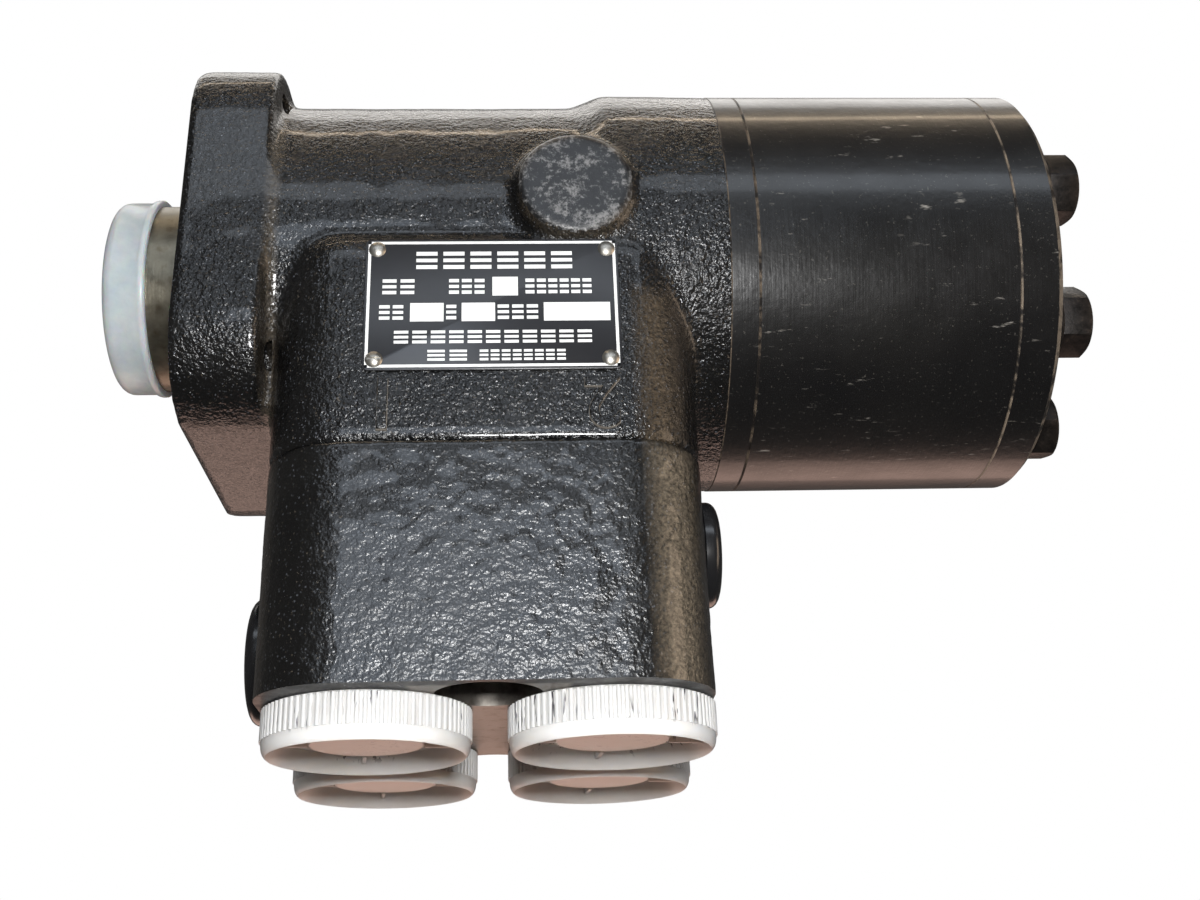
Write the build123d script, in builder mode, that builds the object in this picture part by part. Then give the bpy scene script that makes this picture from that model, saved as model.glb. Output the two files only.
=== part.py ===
import os
from math import atan2, cos, degrees, hypot, pi, radians, sin

from build123d import *

os.makedirs("parts", exist_ok=True)

# Orbital steering unit: rotary valve, gerotor metering set and bolted port block.
# The shaft axis is X. The origin is the centre of the column face of the flange.
# +X runs toward the metering end, -Y is the nameplate side, +Z is up.

# column flange
flange_side = 84.0
flange_high = 82.0
flange_sag = 1.0
flange_corner = 19.0
flange_thick = 17.0
column_pcd = 82.5
column_hole_dia = 8.5
column_hole_deep = 18.6

# cast body
barrel_dia = 89.2
barrel_draft = 0.4
neck_step = 2.8
step_start = 78.5
step_length = 6.5
body_length = 108.0
boss_x = 77.9
boss_z = 1.0
boss_dia = 22.4
boss_draft = 20.0
boss_stand = 46.5
oil_hole_dia = 3.8
oil_hole_step = 5.0
oil_hole_deep = 14.0
oil_ring_wide = 4.0

# port pad and port block
pad_start = 18.8
pad_back = 7.2
pad_corner = 15.0
pad_inset = 0.6
pad_drop = 53.1
pad_top = -10.0
pad_lean = 6.0
block_proud = 1.0
block_height = 43.5
port_pitch_x = 44.3
port_pitch_y = 43.0
port_thread_dia = 18.0
port_thread_deep = 16.6
port_passage_dia = 14.0
drill_dia = 7.0
drill_shift = 4.5
groove_width = 6.0

# metering stack
spacer_thick = 5.8
ring_width = 52.0
cover_thick = 8.7
cover_edge = 1.2
lobe_count = 7
rotor_teeth = 6
tooth_arcs = 12
lobe_circle = 31.0
lobe_radius = 9.0
orbit = 3.2
lobe_gap = 0.06
tip_gap = 0.12

# cover bolts
bolt_edge = 11.2
bolt_dia = 8.0
bolt_flats = 13.0
bolt_head = 6.4
washer_thick = 1.6
washer_dia = 16.0
bolt_grip = 15.0

# rotary valve
sleeve_dia = 38.0
spool_dia = 25.0
journal_dia = 20.0
pin_dia = 7.0
pin_x = 60.0
deflect_deg = 6.0
leaf_thick = 0.4
leaf_count = 4
leaf_width = 9.0
leaf_inset = 10.0
tooth_inset = 18.0
socket_deep = 18.0
fork_back = 9.0
fork_front = 8.0
fork_room = 0.7
drive_dia = 12.4
drive_tail = 2.5

# input end
gland_dia = 41.0
gland_out = 19.4
gland_in = 8.0
seal_dia = 29.0
dust_pocket = 6.0
seal_pocket = 5.0
spline_minor_dia = 14.4
spline_major_dia = 16.4
spline_teeth = 12

# clamp screws of the port block
clamp_inset = 10.2
clamp_dia = 10.0
clamp_head_dia = 16.0
clamp_head_high = 10.0
clamp_sink_dia = 19.2
clamp_sink_deep = 14.6
clamp_grip = 16.0

# side valves
relief_y = -7.5
relief_z = -83.8
relief_plug_dia = 24.2
suction_y = -14.0
suction_z = -65.7
suction_plug_dia = 20.8
plug_stand = 4.2

# nameplate
plate_width = 48.4
plate_height = 27.8
plate_thick = 0.5
plate_x = 61.4
plate_z = -25.1
rivet_inset = 2.2

# transport caps
cap_dia = 38.2
cap_high = 8.3
cap_dish_dia = 34.8
cap_hub_dia = 21.0
cap_ribs = 4
cap_stem = 12.0
cap_floor = 1.6
column_cap_dia = 42.6
column_cap_rim_dia = 43.8
column_cap_long = 9.2
column_cap_wall = 0.9

# clearances
run_fit = 0.05
seat_gap = 0.1
thread_gap = 0.05
bolt_room = 0.3
seal_gap = 0.08
swing_room = 0.35

# derived sizes
neck_dia = barrel_dia - 2 * neck_step
barrel_end_dia = barrel_dia - 2 * barrel_draft
pad_depth = barrel_dia - 2 * pad_inset
block_depth = pad_depth + 2 * block_proud
clamp_pitch = pad_depth - 2 * clamp_inset
column_offset = column_pcd / 2 * sin(pi / 4)
pad_length = body_length - pad_start - pad_back
pad_end = pad_start + pad_length
pad_mid = pad_start + pad_length / 2
block_floor = -pad_drop - block_height
port_x = [pad_mid - port_pitch_x / 2 + 0.6, pad_mid + port_pitch_x / 2 + 0.6]
port_y = [-port_pitch_y / 2, port_pitch_y / 2]
spacer_start = body_length
ring_start = spacer_start + spacer_thick
cover_start = ring_start + ring_width
cover_end = cover_start + cover_thick
stack_r = barrel_end_dia / 2
bolt_circle = stack_r - bolt_edge
bore_r = sleeve_dia / 2 + run_fit
groove_r = bore_r + 4.0
bolt_hole_r = bolt_dia / 2 + bolt_room
seat_x = gland_in
race_thick = 1.0
needle_dia = 2.0
race_a = seat_x + seat_gap
needle_x = race_a + race_thick + seat_gap + needle_dia / 2
race_b = needle_x + needle_dia / 2 + seat_gap
sleeve_start = race_b + race_thick + seat_gap
sleeve_end = body_length - 0.3
spool_front = -gland_out + 0.8
spool_shoulder = sleeve_start + 0.4
spool_end = sleeve_end - 0.3
spool_bore_r = spool_dia / 2 - 3.0
leaf_x = sleeve_start + leaf_inset
pin_r = pin_dia / 2
tooth_x = ring_start + tooth_inset
tilt = degrees(atan2(orbit, tooth_x - pin_x))
crown_half = 5.0
coupling_minor_r = 9.0
coupling_major_r = 10.2
tooth_width = 2.4
seal_ring_r = (bolt_circle + bolt_hole_r + stack_r) / 2
bolt_reach = body_length - bolt_grip
oil_start = body_length - oil_hole_deep
clamp_x = pad_mid + 0.5
clamp_floor = block_floor + clamp_sink_deep


def across(x, y=0.0, z=0.0):
    """Plane across the shaft axis, its first direction pointing down."""
    return Plane(origin=(x, y, z), x_dir=(0, 0, -1), z_dir=(1, 0, 0))


def rod(radius, x0, x1, y=0.0, z=0.0, mode=Mode.ADD):
    """Round bar or hole along the shaft direction."""
    with BuildSketch(across(x0, y, z)) as face:
        Circle(radius)
    extrude(face.sketch, amount=x1 - x0, mode=mode)


def ring(outer, inner, x0, x1, y=0.0, z=0.0, mode=Mode.ADD):
    """Plain ring along the shaft direction."""
    with BuildSketch(across(x0, y, z)) as face:
        Circle(outer)
        Circle(inner, mode=Mode.SUBTRACT)
    extrude(face.sketch, amount=x1 - x0, mode=mode)


def post(radius, z0, z1, x, y, mode=Mode.ADD):
    """Round post or hole along the vertical."""
    with BuildSketch(Plane.XY.offset(z0)) as face:
        with Locations((x, y)):
            Circle(radius)
    extrude(face.sketch, amount=z1 - z0, mode=mode)


def bar(x0, x1, y0, y1, z0, z1, mode=Mode.ADD):
    """Square block between two corners."""
    with BuildSketch(Plane.XY.offset(z0)) as face:
        with Locations(((x0 + x1) / 2, (y0 + y1) / 2)):
            Rectangle(x1 - x0, y1 - y0)
    extrude(face.sketch, amount=z1 - z0, mode=mode)


def turned(points, y=0.0, z=0.0, mode=Mode.ADD):
    """Turned shape from (x, radius) points about a line along the shaft direction."""
    with BuildSketch(Plane(origin=(0, y, z), x_dir=(1, 0, 0), z_dir=(0, 0, 1))) as face:
        with BuildLine():
            Polyline(*points, close=True)
        make_face()
    revolve(face.sketch, axis=Axis((0, y, z), (1, 0, 0)), mode=mode)


def seal_ring(radius, thick, x):
    """Seal ring about the shaft, its round section kept to six sides."""
    with BuildSketch(Plane.XY) as face:
        with Locations((x, radius)):
            RegularPolygon(thick / 2, 6)
    revolve(face.sketch, axis=Axis.X)


def lobe_spots(radius, half_turns=0):
    """Places on a circle in (y, z), one to a lobe; the first is straight down."""
    angles = [(2 * k + half_turns) * pi / lobe_count for k in range(lobe_count)]
    return [(radius * sin(angle), -radius * cos(angle)) for angle in angles]


def bolt_spots():
    """Places of the cover bolts, in the middles of the lobes."""
    return lobe_spots(bolt_circle)


def oil_spots():
    """Places of the oil channels to the metering set, between the lobes."""
    return lobe_spots(bore_r + oil_hole_step, half_turns=1)


def tooth_point(step):
    """Point of the metering rotor's outline, clear of the ring lobes all round."""
    turn = pi / rotor_teeth + 2 * pi * step / (2 * tooth_arcs * rotor_teeth)
    depth = lobe_radius + lobe_gap
    slope_y = -lobe_circle * sin(turn) + lobe_count * orbit * sin(lobe_count * turn)
    slope_z = lobe_circle * cos(turn) - lobe_count * orbit * cos(lobe_count * turn)
    size = hypot(slope_y, slope_z)
    return (lobe_circle * cos(turn) - orbit * cos(lobe_count * turn) - depth * slope_z / size,
            lobe_circle * sin(turn) - orbit * sin(lobe_count * turn) + depth * slope_y / size)


# cast housing
with BuildPart() as housing:
    with BuildSketch(across(0, 0, -flange_sag)):
        RectangleRounded(flange_high, flange_side, flange_corner)
    extrude(amount=flange_thick)
    turned([(flange_thick - 1, 0), (flange_thick - 1, neck_dia / 2), (step_start, neck_dia / 2),
            (step_start + step_length, barrel_dia / 2), (body_length, barrel_end_dia / 2),
            (body_length, 0)])
    with BuildSketch(Plane.XY.offset(-pad_drop)):
        with Locations((pad_mid, 0)):
            RectangleRounded(pad_length, pad_depth, pad_corner)
    extrude(amount=pad_drop + pad_top)
    with BuildSketch(Plane.XY.offset(pad_top)):
        with Locations((pad_mid, 0)):
            RectangleRounded(pad_length, pad_depth, pad_corner)
    extrude(amount=pad_lean, taper=38)
    with BuildSketch(Plane(origin=(boss_x, -boss_stand, boss_z), x_dir=(1, 0, 0), z_dir=(0, 1, 0))):
        Circle(boss_dia / 2)
    extrude(amount=boss_stand - neck_dia / 2 + 6, taper=-boss_draft)
    rod((gland_dia - 6) / 2 + thread_gap, 0, seat_x, mode=Mode.SUBTRACT)
    rod(bore_r, seat_x, body_length, mode=Mode.SUBTRACT)
    for y in (-column_offset, column_offset):
        for z in (-column_offset, column_offset):
            rod(column_hole_dia / 2, 0, column_hole_deep, y, z, mode=Mode.SUBTRACT)
    for spot, (y, z) in enumerate(bolt_spots()):
        reach = bolt_reach - 9.0 if spot == 3 else bolt_reach - 1.0
        rod(bolt_dia / 2 + thread_gap, reach, body_length, y, z, mode=Mode.SUBTRACT)
    for x in port_x:
        for y in port_y:
            shift = -drill_shift if y < 0 else drill_shift
            post(drill_dia / 2, -pad_drop, -2.0, x + shift, y, mode=Mode.SUBTRACT)
        for shift in (-drill_shift, drill_shift):
            ring(groove_r, bore_r - 0.5, x + shift - groove_width / 2,
                 x + shift + groove_width / 2, mode=Mode.SUBTRACT)
    for y, z in oil_spots():
        rod(oil_hole_dia / 2, oil_start, body_length, y, z, mode=Mode.SUBTRACT)
    ring(bore_r + oil_hole_step + 2.6, bore_r - 0.5, oil_start, oil_start + oil_ring_wide,
         mode=Mode.SUBTRACT)
    ring(seal_ring_r + 1.0, seal_ring_r - 1.0, body_length - 1.3, body_length, mode=Mode.SUBTRACT)
    for side in (-1, 1):
        post(clamp_dia / 2 + thread_gap, -pad_drop, -pad_drop + clamp_grip + 2, clamp_x,
             side * clamp_pitch / 2, mode=Mode.SUBTRACT)
housing.part.label = "housing"
export_step(housing.part, "parts/housing.step")

# input end
with BuildPart() as gland:
    pilot_r = (gland_dia - 6) / 2
    turned([(-gland_out, journal_dia / 2 + 0.4), (-gland_out, gland_dia / 2 - 1),
            (-gland_out + 1, gland_dia / 2), (0, gland_dia / 2), (0, pilot_r),
            (gland_in - 0.02, pilot_r), (gland_in - 0.02, journal_dia / 2 + 0.4)])
    rod(seal_dia / 2, -gland_out, -gland_out + dust_pocket, mode=Mode.SUBTRACT)
    rod(seal_dia / 2, gland_in - seal_pocket, gland_in, mode=Mode.SUBTRACT)
gland.part.label = "input_gland"
export_step(gland.part, "parts/input_gland.step")

with BuildPart() as dust_seal:
    ring(seal_dia / 2 - 0.02, journal_dia / 2 + seal_gap, -gland_out + 2,
         -gland_out + dust_pocket - seat_gap)
dust_seal.part.label = "dust_seal"
export_step(dust_seal.part, "parts/dust_seal.step")

with BuildPart() as shaft_seal:
    lip_start, lip_r = gland_in - seal_pocket + seat_gap, journal_dia / 2 + seal_gap
    turned([(lip_start, seal_dia / 2 - 0.02), (lip_start, journal_dia / 2 + 1.6),
            (gland_in - 2.4, lip_r), (gland_in - 1.6, lip_r),
            (gland_in - 1.6, journal_dia / 2 + 1.6), (gland_in - 0.3, journal_dia / 2 + 1.6),
            (gland_in - 0.3, seal_dia / 2 - 0.02)])
shaft_seal.part.label = "shaft_seal"
export_step(shaft_seal.part, "parts/shaft_seal.step")

race_outer = bore_r - 0.25
race_inner = journal_dia / 2 + 0.3
with BuildPart() as race_front:
    ring(race_outer, race_inner, race_a, race_a + race_thick)
race_front.part.label = "bearing_race_front"
export_step(race_front.part, "parts/bearing_race_front.step")

with BuildPart() as race_rear:
    ring(race_outer, race_inner, race_b, race_b + race_thick)
race_rear.part.label = "bearing_race_rear"
export_step(race_rear.part, "parts/bearing_race_rear.step")

needle_count = 12
needle_mid_r = (race_outer + race_inner) / 2
needle_long = race_outer - race_inner - 3.0
with BuildPart() as cage:
    ring(race_outer - 0.1, race_inner + 0.2, needle_x - 0.6, needle_x + 0.6)
    for k in range(needle_count):
        with BuildSketch(across(needle_x - 1)) as pocket:
            with PolarLocations(needle_mid_r, 1, start_angle=k * 360 / needle_count):
                Rectangle(needle_long + 0.3, needle_dia + 0.2)
        extrude(pocket.sketch, amount=2, mode=Mode.SUBTRACT)
cage.part.label = "bearing_cage"
export_step(cage.part, "parts/bearing_cage.step")

with BuildPart() as needles:
    for k in range(needle_count):
        angle = 2 * pi * k / needle_count
        out = (0, sin(angle), -cos(angle))
        start = needle_mid_r - needle_long / 2
        with BuildSketch(Plane(origin=(needle_x, out[1] * start, out[2] * start), z_dir=out)) as tip:
            Circle(needle_dia / 2)
        extrude(tip.sketch, amount=needle_long)
needles.part.label = "bearing_needles"
export_step(needles.part, "parts/bearing_needles.step")

# rotary valve
with BuildPart() as sleeve:
    ring(sleeve_dia / 2, spool_dia / 2 + run_fit, sleeve_start, sleeve_end)
    for x in port_x:
        for shift in (-drill_shift, drill_shift):
            ring(sleeve_dia / 2 + 1, sleeve_dia / 2 - 1.5, x + shift - groove_width / 2,
                 x + shift + groove_width / 2, mode=Mode.SUBTRACT)
            for k in range(4):
                angle = pi / 4 + k * pi / 2 + (pi / 8 if shift > 0 else 0)
                with BuildSketch(Plane(origin=(x + shift, 0, 0),
                                       z_dir=(0, cos(angle), sin(angle)))) as hole:
                    Circle(1.9)
                extrude(hole.sketch, amount=sleeve_dia, mode=Mode.SUBTRACT)
    bar(leaf_x - leaf_width / 2 - 0.3, leaf_x + leaf_width / 2 + 0.3, -1.15, 1.15,
        -sleeve_dia, sleeve_dia, mode=Mode.SUBTRACT)
    post(pin_r + run_fit, -sleeve_dia, sleeve_dia, pin_x, 0, mode=Mode.SUBTRACT)
sleeve.part.label = "sleeve"
export_step(sleeve.part, "parts/sleeve.step")

swing = spool_dia / 2 * sin(radians(deflect_deg)) + 0.5
with BuildPart() as spool:
    turned([(spool_front, 0), (spool_front, journal_dia / 2 - 0.6),
            (spool_front + 0.6, journal_dia / 2), (spool_shoulder, journal_dia / 2),
            (spool_shoulder, spool_dia / 2), (spool_end, spool_dia / 2), (spool_end, 0)])
    with BuildSketch(across(spool_front)) as socket:
        Circle(spline_major_dia / 2)
        with PolarLocations((spline_major_dia + spline_minor_dia) / 4, spline_teeth):
            Rectangle((spline_major_dia - spline_minor_dia) / 2 + 0.02, 2.0, mode=Mode.SUBTRACT)
    extrude(socket.sketch, amount=socket_deep, mode=Mode.SUBTRACT)
    rod(spool_bore_r, leaf_x + leaf_width / 2 + 4, spool_end, mode=Mode.SUBTRACT)
    bar(leaf_x - leaf_width / 2 - 0.3, leaf_x + leaf_width / 2 + 0.3, -1.15 - swing, 1.15 + swing,
        -sleeve_dia, sleeve_dia, mode=Mode.SUBTRACT)
    bar(pin_x - pin_r - 0.3, pin_x + pin_r + 0.3, -pin_r - swing, pin_r + swing,
        -sleeve_dia, sleeve_dia, mode=Mode.SUBTRACT)
    for x in port_x:
        for k in range(4):
            angle = pi / 4 + k * pi / 2 + pi / 16
            flat = Plane(origin=(x, 0, 0), x_dir=(1, 0, 0), z_dir=(0, cos(angle), sin(angle)))
            with BuildSketch(flat.offset(spool_dia / 2 - 1.2)) as groove:
                SlotOverall(2 * drill_shift + groove_width - 2, 3.0)
            extrude(groove.sketch, amount=5, mode=Mode.SUBTRACT)
spool.part.label = "spool"
export_step(spool.part, "parts/spool.step")

with BuildPart() as cross_pin:
    post(pin_r, -sleeve_dia / 2 + 0.4, sleeve_dia / 2 - 0.4, pin_x, 0)
    chamfer(cross_pin.edges().filter_by(GeomType.CIRCLE), 0.4)
cross_pin.part.label = "cross_pin"
export_step(cross_pin.part, "parts/cross_pin.step")

with BuildPart() as leaves:
    pitch = leaf_thick + 0.1
    for k in range(leaf_count):
        mid = (k - (leaf_count - 1) / 2) * pitch
        bar(leaf_x - leaf_width / 2, leaf_x + leaf_width / 2, mid - leaf_thick / 2,
            mid + leaf_thick / 2, -sleeve_dia / 2 + 0.8, sleeve_dia / 2 - 0.8)
leaves.part.label = "leaf_springs"
export_step(leaves.part, "parts/leaf_springs.step")

# the drive shaft leans from the pin centre out to the middle of the rotor teeth
lean = Plane(origin=(pin_x, 0, 0), x_dir=(-sin(radians(tilt)), 0, -cos(radians(tilt))),
             z_dir=(cos(radians(tilt)), 0, -sin(radians(tilt))))
reach = hypot(tooth_x - pin_x, orbit)
head_r = spool_bore_r - 0.75
with BuildPart() as cardan:
    with BuildSketch(lean.offset(-fork_back)):
        Circle(head_r)
    extrude(amount=fork_back + fork_front)
    with BuildSketch(lean.offset(fork_front - 1)):
        Circle(drive_dia / 2)
    extrude(amount=reach - fork_front + 1)
    with BuildSketch(lean.offset(reach - crown_half)):
        Circle(coupling_minor_r - swing_room - 0.05)
        with PolarLocations(coupling_minor_r - 0.6, 12):
            Rectangle(2 * (coupling_major_r - swing_room - coupling_minor_r + 0.6),
                      tooth_width - 2 * swing_room)
    extrude(amount=2 * crown_half)
    with BuildSketch(lean.offset(-fork_back - 1)):
        Rectangle(2 * head_r + 4, pin_dia + 2 * fork_room)
    extrude(amount=fork_back + pin_r + 2, mode=Mode.SUBTRACT)
    with BuildSketch(lean.offset(reach + crown_half)):
        Circle(drive_dia / 2)
    extrude(amount=drive_tail)
cardan.part.label = "cardan_shaft"
export_step(cardan.part, "parts/cardan_shaft.step")

# metering stack
with BuildPart() as spacer:
    ring(stack_r, bore_r - 5.0, spacer_start, ring_start)
    for y, z in bolt_spots():
        rod(bolt_hole_r, spacer_start, ring_start, y, z, mode=Mode.SUBTRACT)
    for y, z in oil_spots():
        rod(oil_hole_dia / 2, spacer_start, ring_start, y, z, mode=Mode.SUBTRACT)
    ring(seal_ring_r + 1.0, seal_ring_r - 1.0, ring_start - 1.3, ring_start, mode=Mode.SUBTRACT)
spacer.part.label = "spacer_plate"
export_step(spacer.part, "parts/spacer_plate.step")

root_r = lobe_circle - lobe_radius + 2 * orbit + tip_gap
with BuildPart() as stator:
    with BuildSketch(across(ring_start)) as bore:
        Circle(root_r)
        with PolarLocations(lobe_circle, lobe_count):
            Circle(lobe_radius, mode=Mode.SUBTRACT)
    rod(stack_r, ring_start, cover_start)
    extrude(bore.sketch, amount=ring_width, mode=Mode.SUBTRACT)
    for y, z in bolt_spots():
        rod(bolt_hole_r, ring_start, cover_start, y, z, mode=Mode.SUBTRACT)
stator.part.label = "stator_ring"
export_step(stator.part, "parts/stator_ring.step")

with BuildPart() as rotor:
    with BuildSketch(across(ring_start + run_fit, 0, -orbit)):
        with BuildLine():
            steps = 2 * tooth_arcs * rotor_teeth
            for step in range(0, steps, 2):
                ThreePointArc(tooth_point(step), tooth_point(step + 1),
                              tooth_point((step + 2) % steps))
        make_face()
        Circle(coupling_minor_r, mode=Mode.SUBTRACT)
        with PolarLocations(coupling_minor_r + 0.35, 12):
            Rectangle(2 * (coupling_major_r - coupling_minor_r - 0.35), tooth_width,
                      mode=Mode.SUBTRACT)
    extrude(amount=ring_width - 2 * run_fit)
rotor.part.label = "rotor"
export_step(rotor.part, "parts/rotor.step")

insert_start = tooth_x + crown_half + 3.4
with BuildPart() as insert:
    rod(coupling_minor_r - seal_gap, insert_start, cover_start - seat_gap, 0, -orbit)
    chamfer(insert.edges(), 0.6)
insert.part.label = "limit_insert"
export_step(insert.part, "parts/limit_insert.step")

with BuildPart() as cover:
    turned([(cover_start, 0), (cover_start, stack_r), (cover_end - cover_edge, stack_r),
            (cover_end, stack_r - cover_edge), (cover_end, 0)])
    for y, z in bolt_spots():
        rod(bolt_hole_r, cover_start, cover_end, y, z, mode=Mode.SUBTRACT)
    ring(seal_ring_r + 1.0, seal_ring_r - 1.0, cover_start, cover_start + 1.3, mode=Mode.SUBTRACT)
cover.part.label = "end_cover"
export_step(cover.part, "parts/end_cover.step")

with BuildPart() as section_seals:
    for x in (body_length - 0.65, ring_start - 0.65, cover_start + 0.65):
        seal_ring(seal_ring_r, 1.25, x)
section_seals.part.label = "section_seals"
export_step(section_seals.part, "parts/section_seals.step")

head_x = cover_end + washer_thick
with BuildPart() as cover_bolts:
    for spot, (y, z) in enumerate(bolt_spots()):
        if spot != 3:
            rod(bolt_dia / 2, bolt_reach, head_x + 0.5, y, z)
            with BuildSketch(across(head_x, y, z)) as head:
                RegularPolygon(bolt_flats / 2, 6, major_radius=False, rotation=13 * spot)
            extrude(head.sketch, amount=bolt_head)
cover_bolts.part.label = "cover_bolts"
export_step(cover_bolts.part, "parts/cover_bolts.step")

special_y, special_z = bolt_spots()[3]
with BuildPart() as ball_bolt:
    rod(bolt_dia / 2, bolt_reach + 1.0, head_x + 0.5, special_y, special_z)
    rod(bolt_dia / 2 - 1.2, bolt_reach - 0.4, bolt_reach + 1.0, special_y, special_z)
    with BuildSketch(across(head_x, special_y, special_z)) as head:
        RegularPolygon(bolt_flats / 2, 6, major_radius=False, rotation=20)
    extrude(head.sketch, amount=bolt_head)
ball_bolt.part.label = "ball_bolt"
export_step(ball_bolt.part, "parts/ball_bolt.step")

with BuildPart() as washers:
    for y, z in bolt_spots():
        ring(washer_dia / 2, bolt_dia / 2 + 0.1, cover_end, head_x, y, z)
washers.part.label = "cover_washers"
export_step(washers.part, "parts/cover_washers.step")

ball_r = bolt_dia / 2 - 0.05
with BuildPart() as check_ball:
    with Locations((bolt_reach - 9.0 + ball_r + 0.05, special_y, special_z)):
        Sphere(ball_r)
check_ball.part.label = "check_ball"
export_step(check_ball.part, "parts/check_ball.step")

# port block
relief_bore_r = 4.3
suction_bore_r = 4.0
relief_thread_r = 8.0
suction_thread_r = 7.5
thread_deep = 8.0
relief_end = pad_mid + 6
suction_end = pad_mid - 6
with BuildPart() as block:
    with BuildSketch(Plane.XY.offset(block_floor)):
        with Locations((pad_mid, 0)):
            RectangleRounded(pad_length, block_depth, pad_corner + 1)
    extrude(amount=block_height)
    chamfer(block.faces().sort_by(Axis.Z)[-1].edges(), 0.7)
    for x in port_x:
        for y in port_y:
            post(port_thread_dia / 2, block_floor, block_floor + port_thread_deep, x, y,
                 mode=Mode.SUBTRACT)
            post(port_passage_dia / 2, block_floor, -pad_drop, x, y, mode=Mode.SUBTRACT)
            with BuildSketch(Plane.XY.offset(-pad_drop - 1.6)) as seat:
                with Locations((x, y)):
                    Circle(port_passage_dia / 2 + 3.7)
                    Circle(port_passage_dia / 2 + 1.3, mode=Mode.SUBTRACT)
            extrude(seat.sketch, amount=1.6, mode=Mode.SUBTRACT)
    for side in (-1, 1):
        spot = side * clamp_pitch / 2
        post(clamp_dia / 2 + bolt_room, block_floor, -pad_drop, clamp_x, spot, mode=Mode.SUBTRACT)
        post(clamp_sink_dia / 2, block_floor, clamp_floor, clamp_x, spot, mode=Mode.SUBTRACT)
    bar(clamp_x - clamp_sink_dia / 2, clamp_x + clamp_sink_dia / 2, clamp_pitch / 2,
        block_depth, block_floor, clamp_floor, mode=Mode.SUBTRACT)
    rod(relief_thread_r + thread_gap, pad_start, pad_start + thread_deep, relief_y, relief_z,
        mode=Mode.SUBTRACT)
    rod(relief_bore_r, pad_start, relief_end, relief_y, relief_z, mode=Mode.SUBTRACT)
    rod(suction_thread_r + thread_gap, pad_end - thread_deep, pad_end, suction_y, suction_z,
        mode=Mode.SUBTRACT)
    rod(suction_bore_r, suction_end, pad_end, suction_y, suction_z, mode=Mode.SUBTRACT)
block.part.label = "port_block"
export_step(block.part, "parts/port_block.step")

with BuildPart() as port_seals:
    for x in port_x:
        for y in port_y:
            with BuildSketch(Plane(origin=(x, y, 0), x_dir=(1, 0, 0), z_dir=(0, -1, 0))) as face:
                with Locations((port_passage_dia / 2 + 2.5, -pad_drop - 0.8)):
                    RegularPolygon(0.78, 6)
            revolve(face.sketch, axis=Axis((x, y, 0), (0, 0, 1)))
port_seals.part.label = "port_seals"
export_step(port_seals.part, "parts/port_seals.step")

with BuildPart() as clamp_screws:
    for side in (-1, 1):
        spot = side * clamp_pitch / 2
        post(clamp_dia / 2, clamp_floor - 1, -pad_drop + clamp_grip, clamp_x, spot)
        post(clamp_head_dia / 2, clamp_floor - clamp_head_high, clamp_floor, clamp_x, spot)
        with BuildSketch(Plane.XY.offset(clamp_floor - clamp_head_high)) as key:
            with Locations((clamp_x, spot)):
                RegularPolygon(4.0, 6, major_radius=False)
        extrude(key.sketch, amount=5, mode=Mode.SUBTRACT)
clamp_screws.part.label = "clamp_screws"
export_step(clamp_screws.part, "parts/clamp_screws.step")


def valve_frame(face_x, inward):
    """Turns a distance into the block from a face into a place along the shaft."""
    return lambda depth: face_x + inward * depth


def valve_plug(face_x, inward, y, z, outer, thread_r, bore_r_plug):
    """Screwed plug with a domed round head and a bored nose that holds the spring."""
    at = valve_frame(face_x, inward)
    turned([(at(-plug_stand), 0), (at(-plug_stand), outer / 2 - 2.2),
            (at(-plug_stand + 1.4), outer / 2), (at(-1.0), outer / 2),
            (at(-1.0), thread_r + 1.2), (at(0), thread_r + 1.2), (at(0), thread_r),
            (at(thread_deep - 0.3), thread_r), (at(thread_deep - 0.3), 0)], y, z)
    turned([(at(thread_deep - 6.0), 0), (at(thread_deep - 6.0), bore_r_plug),
            (at(thread_deep), bore_r_plug), (at(thread_deep), 0)], y, z, mode=Mode.SUBTRACT)
    with BuildSketch(Plane(origin=(at(-plug_stand), y, z), x_dir=(0, 1, 0),
                           z_dir=(inward, 0, 0))) as key:
        RegularPolygon(3.0, 6, major_radius=False)
    extrude(key.sketch, amount=3.2, mode=Mode.SUBTRACT)


def valve_seal(face_x, inward, y, z, outer, thread_r):
    """Flat sealing washer under the plug head."""
    at = valve_frame(face_x, inward)
    low, high = sorted((at(-0.97), at(-0.03)))
    ring(outer / 2 - 1.2, thread_r + 1.3, low, high, y, z)


def valve_spring(face_x, inward, y, z, coil_r, wire, start, length):
    """Coil spring between the plug and the poppet."""
    at = valve_frame(face_x, inward)
    with BuildLine() as path:
        Helix(pitch=length / 5, height=length, radius=coil_r, center=(at(start), y, z),
              direction=(inward, 0, 0))
    edge = path.line
    with BuildSketch(Plane(origin=edge @ 0, z_dir=edge % 0)) as wire_face:
        RegularPolygon(wire / 2, 6)
    sweep(wire_face.sketch, path=edge)


def valve_poppet(face_x, inward, y, z, guide_r, start, length):
    """Guided poppet with a cone nose and a stem for the spring."""
    at = valve_frame(face_x, inward)
    turned([(at(start), 0), (at(start), guide_r - 1.9), (at(start + 2.0), guide_r - 1.9),
            (at(start + 2.0), guide_r), (at(start + length - 3.0), guide_r),
            (at(start + length), 1.0), (at(start + length), 0)], y, z)


def valve_seat(face_x, inward, y, z, outer, start, end):
    """Pressed seat ring with a cone mouth."""
    at = valve_frame(face_x, inward)
    turned([(at(start), outer), (at(start), outer - 0.9), (at(start + 1.6), 1.6),
            (at(end), 1.6), (at(end), outer)], y, z)


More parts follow.
